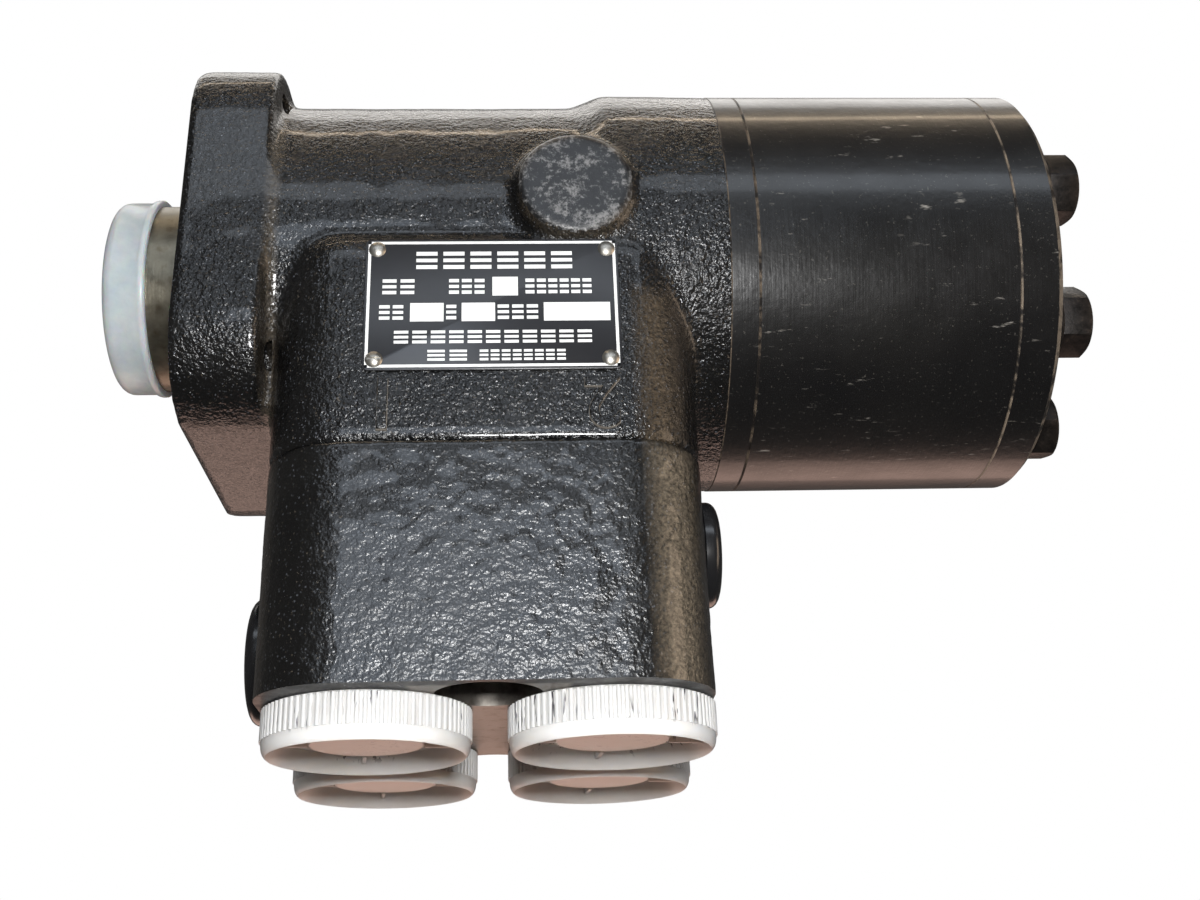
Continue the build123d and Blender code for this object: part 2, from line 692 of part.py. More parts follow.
spring_from = thread_deep - 5.8
spring_long = 14.0
poppet_from = spring_from + spring_long - 1.6
poppet_long = 12.0
with BuildPart() as relief_plug:
    valve_plug(pad_start, 1, relief_y, relief_z, relief_plug_dia, relief_thread_r, 4.3)
relief_plug.part.label = "relief_plug"
export_step(relief_plug.part, "parts/relief_plug.step")

with BuildPart() as suction_plug:
    valve_plug(pad_end, -1, suction_y, suction_z, suction_plug_dia, suction_thread_r, 4.0)
suction_plug.part.label = "suction_plug"
export_step(suction_plug.part, "parts/suction_plug.step")

with BuildPart() as relief_seal:
    valve_seal(pad_start, 1, relief_y, relief_z, relief_plug_dia, relief_thread_r)
relief_seal.part.label = "relief_seal"
export_step(relief_seal.part, "parts/relief_seal.step")

with BuildPart() as suction_seal:
    valve_seal(pad_end, -1, suction_y, suction_z, suction_plug_dia, suction_thread_r)
suction_seal.part.label = "suction_seal"
export_step(suction_seal.part, "parts/suction_seal.step")

with BuildPart() as relief_spring:
    valve_spring(pad_start, 1, relief_y, relief_z, 3.2, 1.0, spring_from + 0.5, spring_long - 1.0)
relief_spring.part.label = "relief_spring"
export_step(relief_spring.part, "parts/relief_spring.step")

with BuildPart() as suction_spring:
    valve_spring(pad_end, -1, suction_y, suction_z, 3.0, 0.8, spring_from + 0.5, spring_long - 1.0)
suction_spring.part.label = "suction_spring"
export_step(suction_spring.part, "parts/suction_spring.step")

with BuildPart() as relief_poppet:
    valve_poppet(pad_start, 1, relief_y, relief_z, relief_bore_r - run_fit, poppet_from, poppet_long)
relief_poppet.part.label = "relief_poppet"
export_step(relief_poppet.part, "parts/relief_poppet.step")

with BuildPart() as suction_poppet:
    valve_poppet(pad_end, -1, suction_y, suction_z, suction_bore_r - run_fit, poppet_from, poppet_long)
suction_poppet.part.label = "suction_poppet"
export_step(suction_poppet.part, "parts/suction_poppet.step")

with BuildPart() as relief_seat:
    valve_seat(pad_start, 1, relief_y, relief_z, relief_bore_r - 0.02,
               poppet_from + poppet_long - 2.0, poppet_from + poppet_long + 6.0)
relief_seat.part.label = "relief_seat"
export_step(relief_seat.part, "parts/relief_seat.step")

with BuildPart() as suction_seat:
    valve_seat(pad_end, -1, suction_y, suction_z, suction_bore_r - 0.02,
               poppet_from + poppet_long - 2.0, poppet_from + poppet_long + 6.0)
suction_seat.part.label = "suction_seat"
export_step(suction_seat.part, "parts/suction_seat.step")

# nameplate
rivet_pitch_x, rivet_pitch_z = plate_width - 2 * rivet_inset, plate_height - 2 * rivet_inset
front = Plane(origin=(plate_x, -pad_depth / 2, plate_z), x_dir=(1, 0, 0), z_dir=(0, -1, 0))
with BuildPart() as nameplate:
    with BuildSketch(front):
        RectangleRounded(plate_width, plate_height, 1.2)
        with GridLocations(rivet_pitch_x, rivet_pitch_z, 2, 2):
            Circle(1.1, mode=Mode.SUBTRACT)
    extrude(amount=plate_thick)
nameplate.part.label = "nameplate"
export_step(nameplate.part, "parts/nameplate.step")

with BuildPart() as rivets:
    with BuildSketch(front):
        with GridLocations(rivet_pitch_x, rivet_pitch_z, 2, 2):
            Circle(1.05)
    extrude(amount=plate_thick + 0.1)
    with BuildSketch(front.offset(plate_thick + 0.02)):
        with GridLocations(rivet_pitch_x, rivet_pitch_z, 2, 2):
            Circle(1.7)
    extrude(amount=0.7, taper=20)
rivets.part.label = "nameplate_rivets"
export_step(rivets.part, "parts/nameplate_rivets.step")


# transport caps
def port_cap(x, y):
    """Pressed transport cap: dished flange with hub, ribs and a hollow stem."""
    top = block_floor - 0.02
    post(cap_dia / 2, top - cap_high, top, x, y)
    chamfer(faces().sort_by(Axis.Z)[0].edges(), 1.2)
    with BuildSketch(Plane.XY.offset(top - cap_high)) as dish:
        with Locations((x, y)):
            Circle(cap_dish_dia / 2)
            Circle(cap_hub_dia / 2, mode=Mode.SUBTRACT)
        with Locations((x, y)):
            with PolarLocations((cap_dish_dia + cap_hub_dia) / 4, cap_ribs):
                Rectangle((cap_dish_dia - cap_hub_dia) / 2 + 0.5, 0.9, mode=Mode.SUBTRACT)
    extrude(dish.sketch, amount=cap_high - 2.2, mode=Mode.SUBTRACT)
    post(port_thread_dia / 2 - 0.15, top - 0.5, top + cap_stem, x, y)
    post(port_thread_dia / 2 - cap_floor, top - cap_high + cap_floor, top + cap_stem, x, y,
         mode=Mode.SUBTRACT)


with BuildPart() as cap_a:
    port_cap(port_x[0], port_y[0])
cap_a.part.label = "port_cap_front_left"
export_step(cap_a.part, "parts/port_cap_front_left.step")

with BuildPart() as cap_b:
    port_cap(port_x[1], port_y[0])
cap_b.part.label = "port_cap_front_right"
export_step(cap_b.part, "parts/port_cap_front_right.step")

with BuildPart() as cap_c:
    port_cap(port_x[0], port_y[1])
cap_c.part.label = "port_cap_rear_left"
export_step(cap_c.part, "parts/port_cap_rear_left.step")

with BuildPart() as cap_d:
    port_cap(port_x[1], port_y[1])
cap_d.part.label = "port_cap_rear_right"
export_step(cap_d.part, "parts/port_cap_rear_right.step")

cap_front = -gland_out - 0.1 - column_cap_wall
with BuildPart() as column_cap:
    outer_r, rim_r = column_cap_dia / 2, column_cap_rim_dia / 2
    inner_r = gland_dia / 2 + seat_gap
    turned([(cap_front, 0), (cap_front, outer_r - 1.6), (cap_front + 0.5, outer_r - 0.6),
            (cap_front + 1.6, outer_r), (cap_front + column_cap_long - 1.4, outer_r),
            (cap_front + column_cap_long - 0.9, rim_r), (cap_front + column_cap_long, rim_r),
            (cap_front + column_cap_long, inner_r), (cap_front + column_cap_wall, inner_r),
            (cap_front + column_cap_wall, 0)])
column_cap.part.label = "column_cap"
export_step(column_cap.part, "parts/column_cap.step")
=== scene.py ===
import math

import bpy
from mathutils import Matrix, Vector


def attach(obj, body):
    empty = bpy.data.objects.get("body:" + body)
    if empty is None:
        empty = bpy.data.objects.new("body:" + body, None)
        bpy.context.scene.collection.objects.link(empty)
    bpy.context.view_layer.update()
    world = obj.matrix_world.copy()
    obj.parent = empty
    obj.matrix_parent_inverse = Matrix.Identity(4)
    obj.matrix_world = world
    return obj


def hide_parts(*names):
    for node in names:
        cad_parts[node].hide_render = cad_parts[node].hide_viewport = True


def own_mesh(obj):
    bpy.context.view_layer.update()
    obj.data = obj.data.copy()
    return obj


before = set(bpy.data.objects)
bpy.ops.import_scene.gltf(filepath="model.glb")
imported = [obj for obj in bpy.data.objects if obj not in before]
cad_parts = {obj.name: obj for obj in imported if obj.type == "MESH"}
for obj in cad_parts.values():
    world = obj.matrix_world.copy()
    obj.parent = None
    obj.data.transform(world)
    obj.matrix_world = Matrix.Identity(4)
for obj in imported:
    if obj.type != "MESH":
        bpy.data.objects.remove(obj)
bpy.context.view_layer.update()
print("steering unit: CAD frame loaded,", len(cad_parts), "nodes")

mm = 0.001  # metres
hair = 0.001 * mm  # two places nearer than this are one
near = 0.1 * mm  # a face nearer than this to a plane lies on it
axisX = (1, 0, 0)
axisZ = (0, 0, 1)


def clearSelection():
    bpy.ops.object.select_all(action="DESELECT")


def pick(piece):
    clearSelection()
    piece.select_set(True)
    bpy.context.view_layer.objects.active = piece


def settle(piece, name):
    pick(piece)
    bpy.ops.object.transform_apply(location=True, rotation=True, scale=True)
    piece.name = name
    piece.data.name = name
    return piece


def addBlock(name, low, high):
    size = [b - a for a, b in zip(low, high)]
    middle = [(a + b) / 2 for a, b in zip(low, high)]
    clearSelection()
    bpy.ops.mesh.primitive_cube_add(size=1, location=middle, scale=size)
    return settle(bpy.context.object, name)


def addRod(name, start, direction, radius, length, sides):
    turn = Vector(direction).to_track_quat("Z", "Y").to_euler()
    middle = Vector(start) + Vector(direction).normalized() * (length / 2)
    clearSelection()
    bpy.ops.mesh.primitive_cylinder_add(vertices=sides, radius=radius, depth=length,
                                        location=middle, rotation=turn)
    return settle(bpy.context.object, name)


# edges are chosen by a test on the places of their two ends
def bevelWhere(piece, test, width, segments):
    pick(piece)
    mesh = piece.data
    bpy.ops.object.mode_set(mode="EDIT")
    bpy.ops.mesh.select_mode(type="EDGE")
    bpy.ops.mesh.select_all(action="DESELECT")
    bpy.ops.object.mode_set(mode="OBJECT")
    for edge in mesh.edges:
        a, b = (mesh.vertices[v].co for v in edge.vertices)
        edge.select = bool(test(a, b))
    bpy.ops.object.mode_set(mode="EDIT")
    bpy.ops.mesh.bevel(offset=width, segments=segments, affect="EDGES")
    bpy.ops.object.mode_set(mode="OBJECT")


def bevelAlong(piece, axis, width, segments):
    other = [i for i in range(3) if i != axis]
    bevelWhere(piece, lambda a, b: all(abs(a[i] - b[i]) < hair for i in other), width, segments)


def bevelRim(piece, height, width, segments):
    bevelWhere(piece, lambda a, b: max(abs(a.z - height), abs(b.z - height)) < hair,
               width, segments)


def useModifier(piece, kind, **settings):
    pick(piece)
    modifier = piece.modifiers.new(kind.title(), kind)
    for key, value in settings.items():
        setattr(modifier, key, value)
    bpy.ops.object.modifier_apply(modifier=modifier.name)


def shadeSmooth(piece, degrees):
    pick(piece)
    bpy.ops.object.shade_smooth_by_angle(angle=math.radians(degrees))


def softenEdges(piece, width, degrees=32):
    useModifier(piece, "BEVEL", width=width, segments=2, limit_method="ANGLE",
                angle_limit=math.radians(degrees))
    shadeSmooth(piece, 40)


def joinInto(piece, others):
    pick(piece)
    for other in others:
        other.select_set(True)
    bpy.ops.object.join()
    return piece


def cutAway(piece, cutters, operation="DIFFERENCE"):
    tool = joinInto(cutters[0], cutters[1:])
    useModifier(piece, "BOOLEAN", object=tool, operation=operation, solver="EXACT")
    bpy.data.objects.remove(tool)


def cutFlat(piece, place, direction):
    pick(piece)
    bpy.ops.object.mode_set(mode="EDIT")
    bpy.ops.mesh.select_mode(type="VERT")
    bpy.ops.mesh.select_all(action="SELECT")
    bpy.ops.mesh.bisect(plane_co=place, plane_no=direction, use_fill=True, clear_outer=True)
    bpy.ops.object.mode_set(mode="OBJECT")


def tidyShell(piece):
    pick(piece)
    bpy.ops.object.mode_set(mode="EDIT")
    bpy.ops.mesh.select_all(action="SELECT")
    bpy.ops.mesh.remove_doubles(threshold=hair)
    bpy.ops.mesh.normals_make_consistent(inside=False)
    bpy.ops.object.mode_set(mode="OBJECT")


# a profile of (along, radius) steps is extruded from one point and spun round its axis
def turnOnLathe(name, profile, steps, centre=(0, 0, 0), axis=axisX):
    along = Vector(axis)
    out = Vector(axisZ) if abs(along.z) < 0.5 else Vector(axisX)
    spots = [Vector(centre) + along * a + out * r for a, r in profile]
    clearSelection()
    bpy.ops.mesh.primitive_plane_add(size=mm, location=(0, 0, 0))
    piece = bpy.context.object
    bpy.ops.object.mode_set(mode="EDIT")
    bpy.ops.mesh.select_mode(type="VERT")
    bpy.ops.mesh.select_all(action="SELECT")
    bpy.ops.mesh.merge(type="CENTER")
    bpy.ops.transform.translate(value=spots[0])
    for here, there in zip(spots, spots[1:]):
        bpy.ops.mesh.extrude_region_move(TRANSFORM_OT_translate={"value": there - here})
    bpy.ops.mesh.select_all(action="SELECT")
    bpy.ops.mesh.spin(steps=steps, angle=math.tau, center=centre, axis=axis)
    bpy.ops.object.mode_set(mode="OBJECT")
    tidyShell(piece)
    return settle(piece, name)


# the round of a profile from a flat face out to its side, six steps of a quarter ellipse
def roundTo(face, radius, deep, wide):
    turns = [k / 6 * math.pi / 2 for k in range(7)]
    return [(face + deep * (1 - math.cos(t)), radius - wide * (1 - math.sin(t))) for t in turns]


def copyOf(piece, name):
    twin = piece.copy()
    twin.data = piece.data.copy()
    bpy.context.collection.objects.link(twin)
    return settle(twin, name)


def giveFinish(piece, *materials):
    piece.data.materials.clear()
    for material in materials:
        piece.data.materials.append(material)


def placeIn(piece, body, node):
    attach(piece, body)
    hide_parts(node)


# a material under way: its nodes are added one by one and read the piece's own coordinates
class Recipe:
    def __init__(self, name):
        self.material = bpy.data.materials.new(name)
        self.material.use_nodes = True
        self.tree = self.material.node_tree
        self.shader = self.tree.nodes["Principled BSDF"]
        self.place = self.tree.nodes.new("ShaderNodeTexCoord").outputs["Object"]

    def link(self, source, target):
        self.tree.links.new(source, target)

    def set(self, **values):
        for key, value in values.items():
            self.shader.inputs[key.replace("_", " ")].default_value = value
        return self

    def stretched(self, scale, turn=(0, 0, 0)):
        node = self.tree.nodes.new("ShaderNodeMapping")
        node.inputs["Scale"].default_value = scale
        node.inputs["Rotation"].default_value = turn
        self.link(self.place, node.inputs["Vector"])
        return node.outputs["Vector"]

    def noise(self, size, detail=3.0, rough=0.55, vector=None):
        node = self.tree.nodes.new("ShaderNodeTexNoise")
        node.inputs["Scale"].default_value = 1 / size
        node.inputs["Detail"].default_value = detail
        node.inputs["Roughness"].default_value = rough
        self.link(vector or self.place, node.inputs["Vector"])
        return node.outputs["Fac"]

    def cells(self, size):
        node = self.tree.nodes.new("ShaderNodeTexVoronoi")
        node.inputs["Scale"].default_value = 1 / size
        self.link(self.place, node.inputs["Vector"])
        return node.outputs["Distance"]

    # stops are (place, grey or colour)
    def ramp(self, value, stops):
        node = self.tree.nodes.new("ShaderNodeValToRGB")
        elements = node.color_ramp.elements
        while len(elements) < len(stops):
            elements.new(0.5)
        for element, (spot, colour) in zip(elements, stops):
            element.position = spot
            if isinstance(colour, (int, float)):
                colour = (colour, colour, colour)
            element.color = (*colour, 1)
        self.link(value, node.inputs["Fac"])
        return node.outputs["Color"]

    def maths(self, kind, a, b):
        node = self.tree.nodes.new("ShaderNodeMath")
        node.operation = kind
        for socket, value in zip(node.inputs, (a, b)):
            if isinstance(value, (int, float)):
                socket.default_value = value
            else:
                self.link(value, socket)
        return node.outputs["Value"]

    def mix(self, share, a, b):
        node = self.tree.nodes.new("ShaderNodeMix")
        node.data_type = "RGBA"
        for index, value in ((0, share), (6, a), (7, b)):  # Factor, and A and B as colours
            if isinstance(value, tuple):
                node.inputs[index].default_value = (*value, 1)
            else:
                self.link(value, node.inputs[index])
        return node.outputs[2]

    def bump(self, height, distance):
        node = self.tree.nodes.new("ShaderNodeBump")
        node.inputs["Distance"].default_value = distance
        self.link(height, node.inputs["Height"])
        return node.outputs["Normal"]

    def along(self, axis):
        node = self.tree.nodes.new("ShaderNodeSeparateXYZ")
        self.link(self.place, node.inputs["Vector"])
        return node.outputs[axis]

    # one inside the box between two corners, fading to nothing at its sides
    def within(self, low, high, fade):
        share = 1.0
        for axis, (start, end) in enumerate(zip(low, high)):
            spot = self.along(axis)
            rise = self.maths("DIVIDE", self.maths("SUBTRACT", spot, start * mm), fade * mm)
            fall = self.maths("DIVIDE", self.maths("SUBTRACT", end * mm, spot), fade * mm)
            share = self.maths("MINIMUM", self.maths("MINIMUM", rise, fall), share)
        return self.maths("MAXIMUM", share, 0.0)

    def finish(self, colour, roughness=None, normal=None):
        self.link(colour, self.shader.inputs["Base Color"])
        if roughness:
            self.link(roughness, self.shader.inputs["Roughness"])
        if normal:
            self.link(normal, self.shader.inputs["Normal"])
        return self.material


# tones of each finish, as shares of red, green and blue light
castTones = {
    "deep": (0.0028, 0.0028, 0.003), "pale": (0.0065, 0.0063, 0.006),
    # the first tone on the next line is the grey-blue of painted glints on the grain
    "paintedGlint": (0.2, 0.215, 0.245), "grit": (0.2, 0.17, 0.13),
}
bossTones = {"paint": (0.005, 0.005, 0.0055), "fleck": (0.2, 0.195, 0.19)}
turnedTones = {
    "deep": (0.0035, 0.0035, 0.004), "pale": (0.008, 0.0076, 0.0072),
    "scratch": (0.3, 0.28, 0.25), "grit": (0.16, 0.15, 0.13),
}
seamPaint = (0.012, 0.01, 0.009)
overPaint = (0.006, 0.006, 0.006)
boltTones = {
    "oxide": (0.007, 0.006, 0.0055), "steel": (0.018, 0.014, 0.012), "rust": (0.05, 0.035, 0.025),
}
whiteTones = {
    "deep": (0.80, 0.775, 0.735), "pale": (0.88, 0.865, 0.84), "scuff": (0.045, 0.04, 0.05),
}
milkyTones = {"deep": (0.72, 0.77, 0.82), "pale": (0.92, 0.935, 0.95)}
rubberTones = {"deep": (0.012, 0.012, 0.012), "pale": (0.022, 0.022, 0.022)}

# places of real dust and of painted reflection on a casting as (low corner, high corner, fade,
# tone, share), in mm
housingDustAndSheen = [
    # a painted brown reflection of warm light on the pad's right corner
    ((87, -47, -56), (97, -32, -20), 4, (0.13, 0.095, 0.06), 0.5),
    # real dust in the crease at the flange
    ((16.2, -47, -46), (20, 20, 36), 1.5, (0.25, 0.2, 0.14), 0.22),
    # brown over the boss and round it
    ((66, -50, -12), (90, -43, 14), 3, (0.24, 0.19, 0.13), 0.2),
]
blockDustAndSheen = [
    # a painted brownish-white highlight on the block's right corner
    ((88, -47, -100), (100, -30, -52), 4, (0.25, 0.2, 0.14), 0.5),
    # real dust at the block's left end, by the flange
    ((16, -47, -100), (22, -20, -50), 3, (0.2, 0.16, 0.12), 0.25),
]
# boxes as (low corner, high corner, fade), in mm
paintedOver = ((46, -42, -120), (75, 60, 0), 1.2)  # black on the block's underside
scuffedSide = ((0, -60, -103), (120, 0, -90), 1.5)  # the side of the front caps


# waves and grain of the casting, with painted glints: grey-blue dots in patches that stand in for
# highlights on the grain; zones of dust and of painted reflection are mixed in where given
def castPaint(name, grain, depth, waves, paintedGlint, gloss, dustAndSheenZones):
    recipe = Recipe(name).set(Specular_IOR_Level=0.38, Coat_Weight=0.28, Coat_Roughness=0.08)
    tones = castTones
    lumps = recipe.noise(grain * 3.4, 2.0)
    skin = recipe.noise(grain, 1.0, 0.5)
    fine = recipe.noise(grain * 0.42, 1.0, 0.5)
    skin = recipe.maths("ADD", skin, recipe.maths("MULTIPLY", fine, 0.45))
    height = recipe.maths("ADD", recipe.maths("MULTIPLY", lumps, waves), skin)
    patches = recipe.noise(0.02, 3.0, 0.6)
    black = recipe.ramp(patches, [(0.3, tones["deep"]), (0.75, tones["pale"])])
    # painted glints: grey-blue dots, shown in patches, stand in for highlights on the grain
    glintDots = recipe.ramp(recipe.cells(grain * 0.8), [(0.12, 1.0), (0.27, 0.0)])
    chosen = recipe.ramp(recipe.noise(grain * 2.0, 2.0), [(0.42, paintedGlint * 0.1), (0.62, paintedGlint)])
    colour = recipe.mix(recipe.maths("MULTIPLY", glintDots, chosen), black, tones["paintedGlint"])
    speck = recipe.noise(0.0008, 3.0, 0.65)
    # real dust, and painted brown reflections and highlights, mixed in zone by zone
    for low, high, fade, tone, share in dustAndSheenZones:
        dustAndSheenShare = recipe.ramp(speck, [(0.36, share * 0.25), (0.66, share)])
        dustAndSheenShare = recipe.maths("MULTIPLY", dustAndSheenShare, recipe.within(low, high, fade))
        colour = recipe.mix(dustAndSheenShare, colour, tone)
    grit = recipe.ramp(recipe.noise(0.0007, 2.0), [(0.67, 0.0), (0.74, 0.3)])
    colour = recipe.mix(grit, colour, tones["grit"])
    rough = recipe.ramp(recipe.noise(0.008, 3.0), [(0.3, gloss), (0.7, gloss + 0.1)])
    return recipe.finish(colour, rough, recipe.bump(height, depth))


def wornPaint(name):
    recipe = Recipe(name).set(Specular_IOR_Level=0.6, Roughness=0.3)
    flecks = recipe.noise(0.0009, 5.0, 0.75)
    where = recipe.noise(0.0045, 2.0)
    shown = recipe.ramp(recipe.maths("ADD", flecks, recipe.maths("MULTIPLY", where, 0.55)),
                        [(0.79, 0.0), (0.95, 0.9)])
    colour = recipe.mix(shown, bossTones["paint"], bossTones["fleck"])
    return recipe.finish(colour, None, recipe.bump(flecks, 0.00014))


# rings left by the lathe under the paint, and slanting scratches in patches
def turnedPaint(name, scratchShare):
    recipe = Recipe(name).set(Specular_IOR_Level=0.42, Coat_Weight=0.25, Coat_Roughness=0.12)
    tones = turnedTones
    rings = recipe.noise(0.0007, 3.0, 0.7, recipe.stretched((1.0, 0.03, 0.03)))
    peel = recipe.noise(0.0016, 2.0)
    slanted = recipe.stretched((0.16, 1.0, 0.5), (0.5, 0.25, 0.6))
    streak = recipe.ramp(recipe.noise(0.0009, 3.0, 0.7, slanted), [(0.64, 0.0), (0.74, 1.0)])
    where = recipe.ramp(recipe.noise(0.013, 2.0), [(0.44, 0.0), (0.6, 1.0)])
    marks = recipe.maths("MULTIPLY", recipe.maths("MULTIPLY", streak, where), scratchShare)
    black = recipe.ramp(recipe.noise(0.03, 2.0), [(0.3, tones["deep"]), (0.75, tones["pale"])])
    colour = recipe.mix(marks, black, tones["scratch"])
    gloss = recipe.ramp(recipe.noise(0.01, 4.0, 0.65), [(0.3, 0.28), (0.7, 0.38)])
    grit = recipe.ramp(recipe.noise(0.0006, 2.0), [(0.66, 0.0), (0.74, 0.3)])
    colour = recipe.mix(grit, colour, tones["grit"])
    height = recipe.maths("ADD", recipe.maths("MULTIPLY", rings, 0.7), peel)
    return recipe.finish(colour, gloss, recipe.bump(height, 0.00005))


# paint that is broken along an edge, more of it where the gap is lower; on the raised numbers and
# on the end cover's chamfers the lighter tone is a painted highlight
def brokenSeam(name, gap, tone):
    recipe = Recipe(name).set(Roughness=0.5)
    gaps = recipe.ramp(recipe.noise(0.005, 3.0, 0.7), [(gap, 0.0), (gap + 0.14, 1.0)])
    return recipe.finish(recipe.mix(gaps, seamPaint, tone))


def bareMetal(name, dark, light, stain, rough, painted=None):
    recipe = Recipe(name).set(Metallic=0.85)
    mottled = recipe.noise(0.004, 4.0, 0.65)
    colour = recipe.ramp(mottled, [(0.3, dark), (0.62, light)])
    brown = recipe.ramp(recipe.noise(0.0025, 3.0), [(0.55, 0.0), (0.72, 0.75)])
    colour = recipe.mix(brown, colour, stain)
    if painted:
        colour = recipe.mix(recipe.within(*painted), overPaint, colour)
    lines = recipe.noise(0.0006, 3.0, 0.6, recipe.stretched((1.0, 0.05, 0.05)))
    gloss = recipe.ramp(mottled, [(0.3, rough - 0.08), (0.7, rough + 0.12)])
    return recipe.finish(colour, gloss, recipe.bump(lines, 0.00003))


def darkBolt(name):
    recipe = Recipe(name).set(Metallic=0.55)
    spots = recipe.noise(0.0016, 4.0, 0.7)
    colour = recipe.ramp(spots, [(0.3, boltTones["oxide"]), (0.6, boltTones["steel"]),
                                 (0.8, boltTones["rust"])])
    gloss = recipe.ramp(spots, [(0.3, 0.34), (0.8, 0.6)])
    return recipe.finish(colour, gloss, recipe.bump(spots, 0.00006))


def whitePlastic(name, scuffed):
    recipe = Recipe(name).set(Subsurface_Weight=0.35, Subsurface_Scale=0.004, Roughness=0.38,
                              Subsurface_Radius=(1.0, 0.85, 0.7))
    tones = whiteTones
    cloudy = recipe.noise(0.012, 3.0)
    colour = recipe.ramp(cloudy, [(0.3, tones["deep"]), (0.7, tones["pale"])])
    upright = recipe.noise(0.0009, 2.0, 0.6, recipe.stretched((1.0, 1.0, 0.12)))
    scuffs = recipe.ramp(upright, [(0.6, 0.0), (0.63, 1.0)])
    zone = recipe.ramp(recipe.noise(0.009, 1.0), [(0.46, 0.0), (0.54, 1.0)])
    zone = recipe.maths("MULTIPLY", zone, recipe.within(*scuffedSide))
    marks = recipe.maths("MULTIPLY", recipe.maths("MULTIPLY", scuffs, zone), scuffed)
    colour = recipe.mix(marks, colour, tones["scuff"])
    return recipe.finish(colour, None, recipe.bump(cloudy, 0.0001))


def milkyPlastic(name):
    recipe = Recipe(name).set(Transmission_Weight=0.42, IOR=1.46, Roughness=0.3,
                              Subsurface_Weight=0.3, Subsurface_Scale=0.003)
    cloudy = recipe.noise(0.006, 4.0, 0.6)
    colour = recipe.ramp(cloudy, [(0.3, milkyTones["deep"]), (0.7, milkyTones["pale"])])
    return recipe.finish(colour, None, recipe.bump(recipe.noise(0.003, 3.0), 0.00012))


def plainMetal(name, colour, rough):
    recipe = Recipe(name).set(Metallic=1.0)
    grain = recipe.noise(0.0008, 3.0, 0.6, recipe.stretched((1.0, 0.08, 0.08)))
    low = tuple(c * 0.8 for c in colour)
    tone = recipe.ramp(grain, [(0.3, low), (0.7, colour)])
    gloss = recipe.ramp(grain, [(0.3, rough), (0.7, rough + 0.12)])
    return recipe.finish(tone, gloss, recipe.bump(grain, 0.00002))


def rubber(name):
    recipe = Recipe(name).set(Roughness=0.62)
    grain = recipe.noise(0.001, 2.0)
    tone = recipe.ramp(grain, [(0.3, rubberTones["deep"]), (0.7, rubberTones["pale"])])
    return recipe.finish(tone, None, recipe.bump(grain, 0.00002))


def plateInk(name, colour, rough):
    recipe = Recipe(name).set(Roughness=rough)
    grain = recipe.noise(0.002, 3.0)
    low = tuple(c * 0.86 for c in colour)
    tone = recipe.ramp(grain, [(0.3, low), (0.7, colour)])
    return recipe.finish(tone, None, recipe.bump(grain, 0.00001))


finishes = {
    "castBlack": castPaint("castBlackPaint", 0.00095, 0.00036, 1.0, 0.4, 0.2, housingDustAndSheen),
    "blockBlack": castPaint("blockBlackPaint", 0.0011, 0.00023, 1.4, 0.3, 0.24, blockDustAndSheen),
    "bossWorn": wornPaint("wornBossPaint"),
    "turnedBlack": turnedPaint("turnedBlackPaint", 0.7),
    "seamMetal": brokenSeam("brokenSeamPaint", 0.46, (0.13, 0.1, 0.072)),
    # a painted highlight of warm light on the end cover's chamfers
    "coverEdgeHighlight": brokenSeam("coverEdgeHighlightPaint", 0.4, (0.2, 0.16, 0.12)),
    # a painted highlight on the sides of the raised numbers, where their edges catch light
    "markSideHighlight": brokenSeam("markSideHighlightPaint", 0.12, (0.2, 0.18, 0.155)),
    "blockFace": bareMetal("blockFaceMetal", (0.1, 0.09, 0.08), (0.24, 0.22, 0.195),
                           (0.1, 0.07, 0.05), 0.42, paintedOver),
    "glandMetal": bareMetal("glandMetal", (0.12, 0.108, 0.082), (0.2, 0.183, 0.14),
                            (0.11, 0.09, 0.06), 0.36),
    "bolt": darkBolt("oxidedBolt"),
    "plug": plateInk("plugBlack", (0.012, 0.012, 0.013), 0.22),
    "steel": plainMetal("groundSteel", (0.56, 0.55, 0.53), 0.2),
    "spring": plainMetal("springSteel", (0.38, 0.38, 0.4), 0.26),
    "rubber": rubber("sealRubber"),
    "capScuffed": whitePlastic("whiteCapScuffed", 1.0),
    "capClean": whitePlastic("whiteCap", 0.15),
    "columnCap": milkyPlastic("milkyCap"),
    "plateBlack": plateInk("plateBlack", (0.012, 0.012, 0.014), 0.3),
    "plateWhite": plateInk("plateWhite", (0.82, 0.82, 0.8), 0.42),
    "rivet": plainMetal("rivetMetal", (0.4, 0.38, 0.34), 0.34),
}
print("steering unit: finishes mixed")


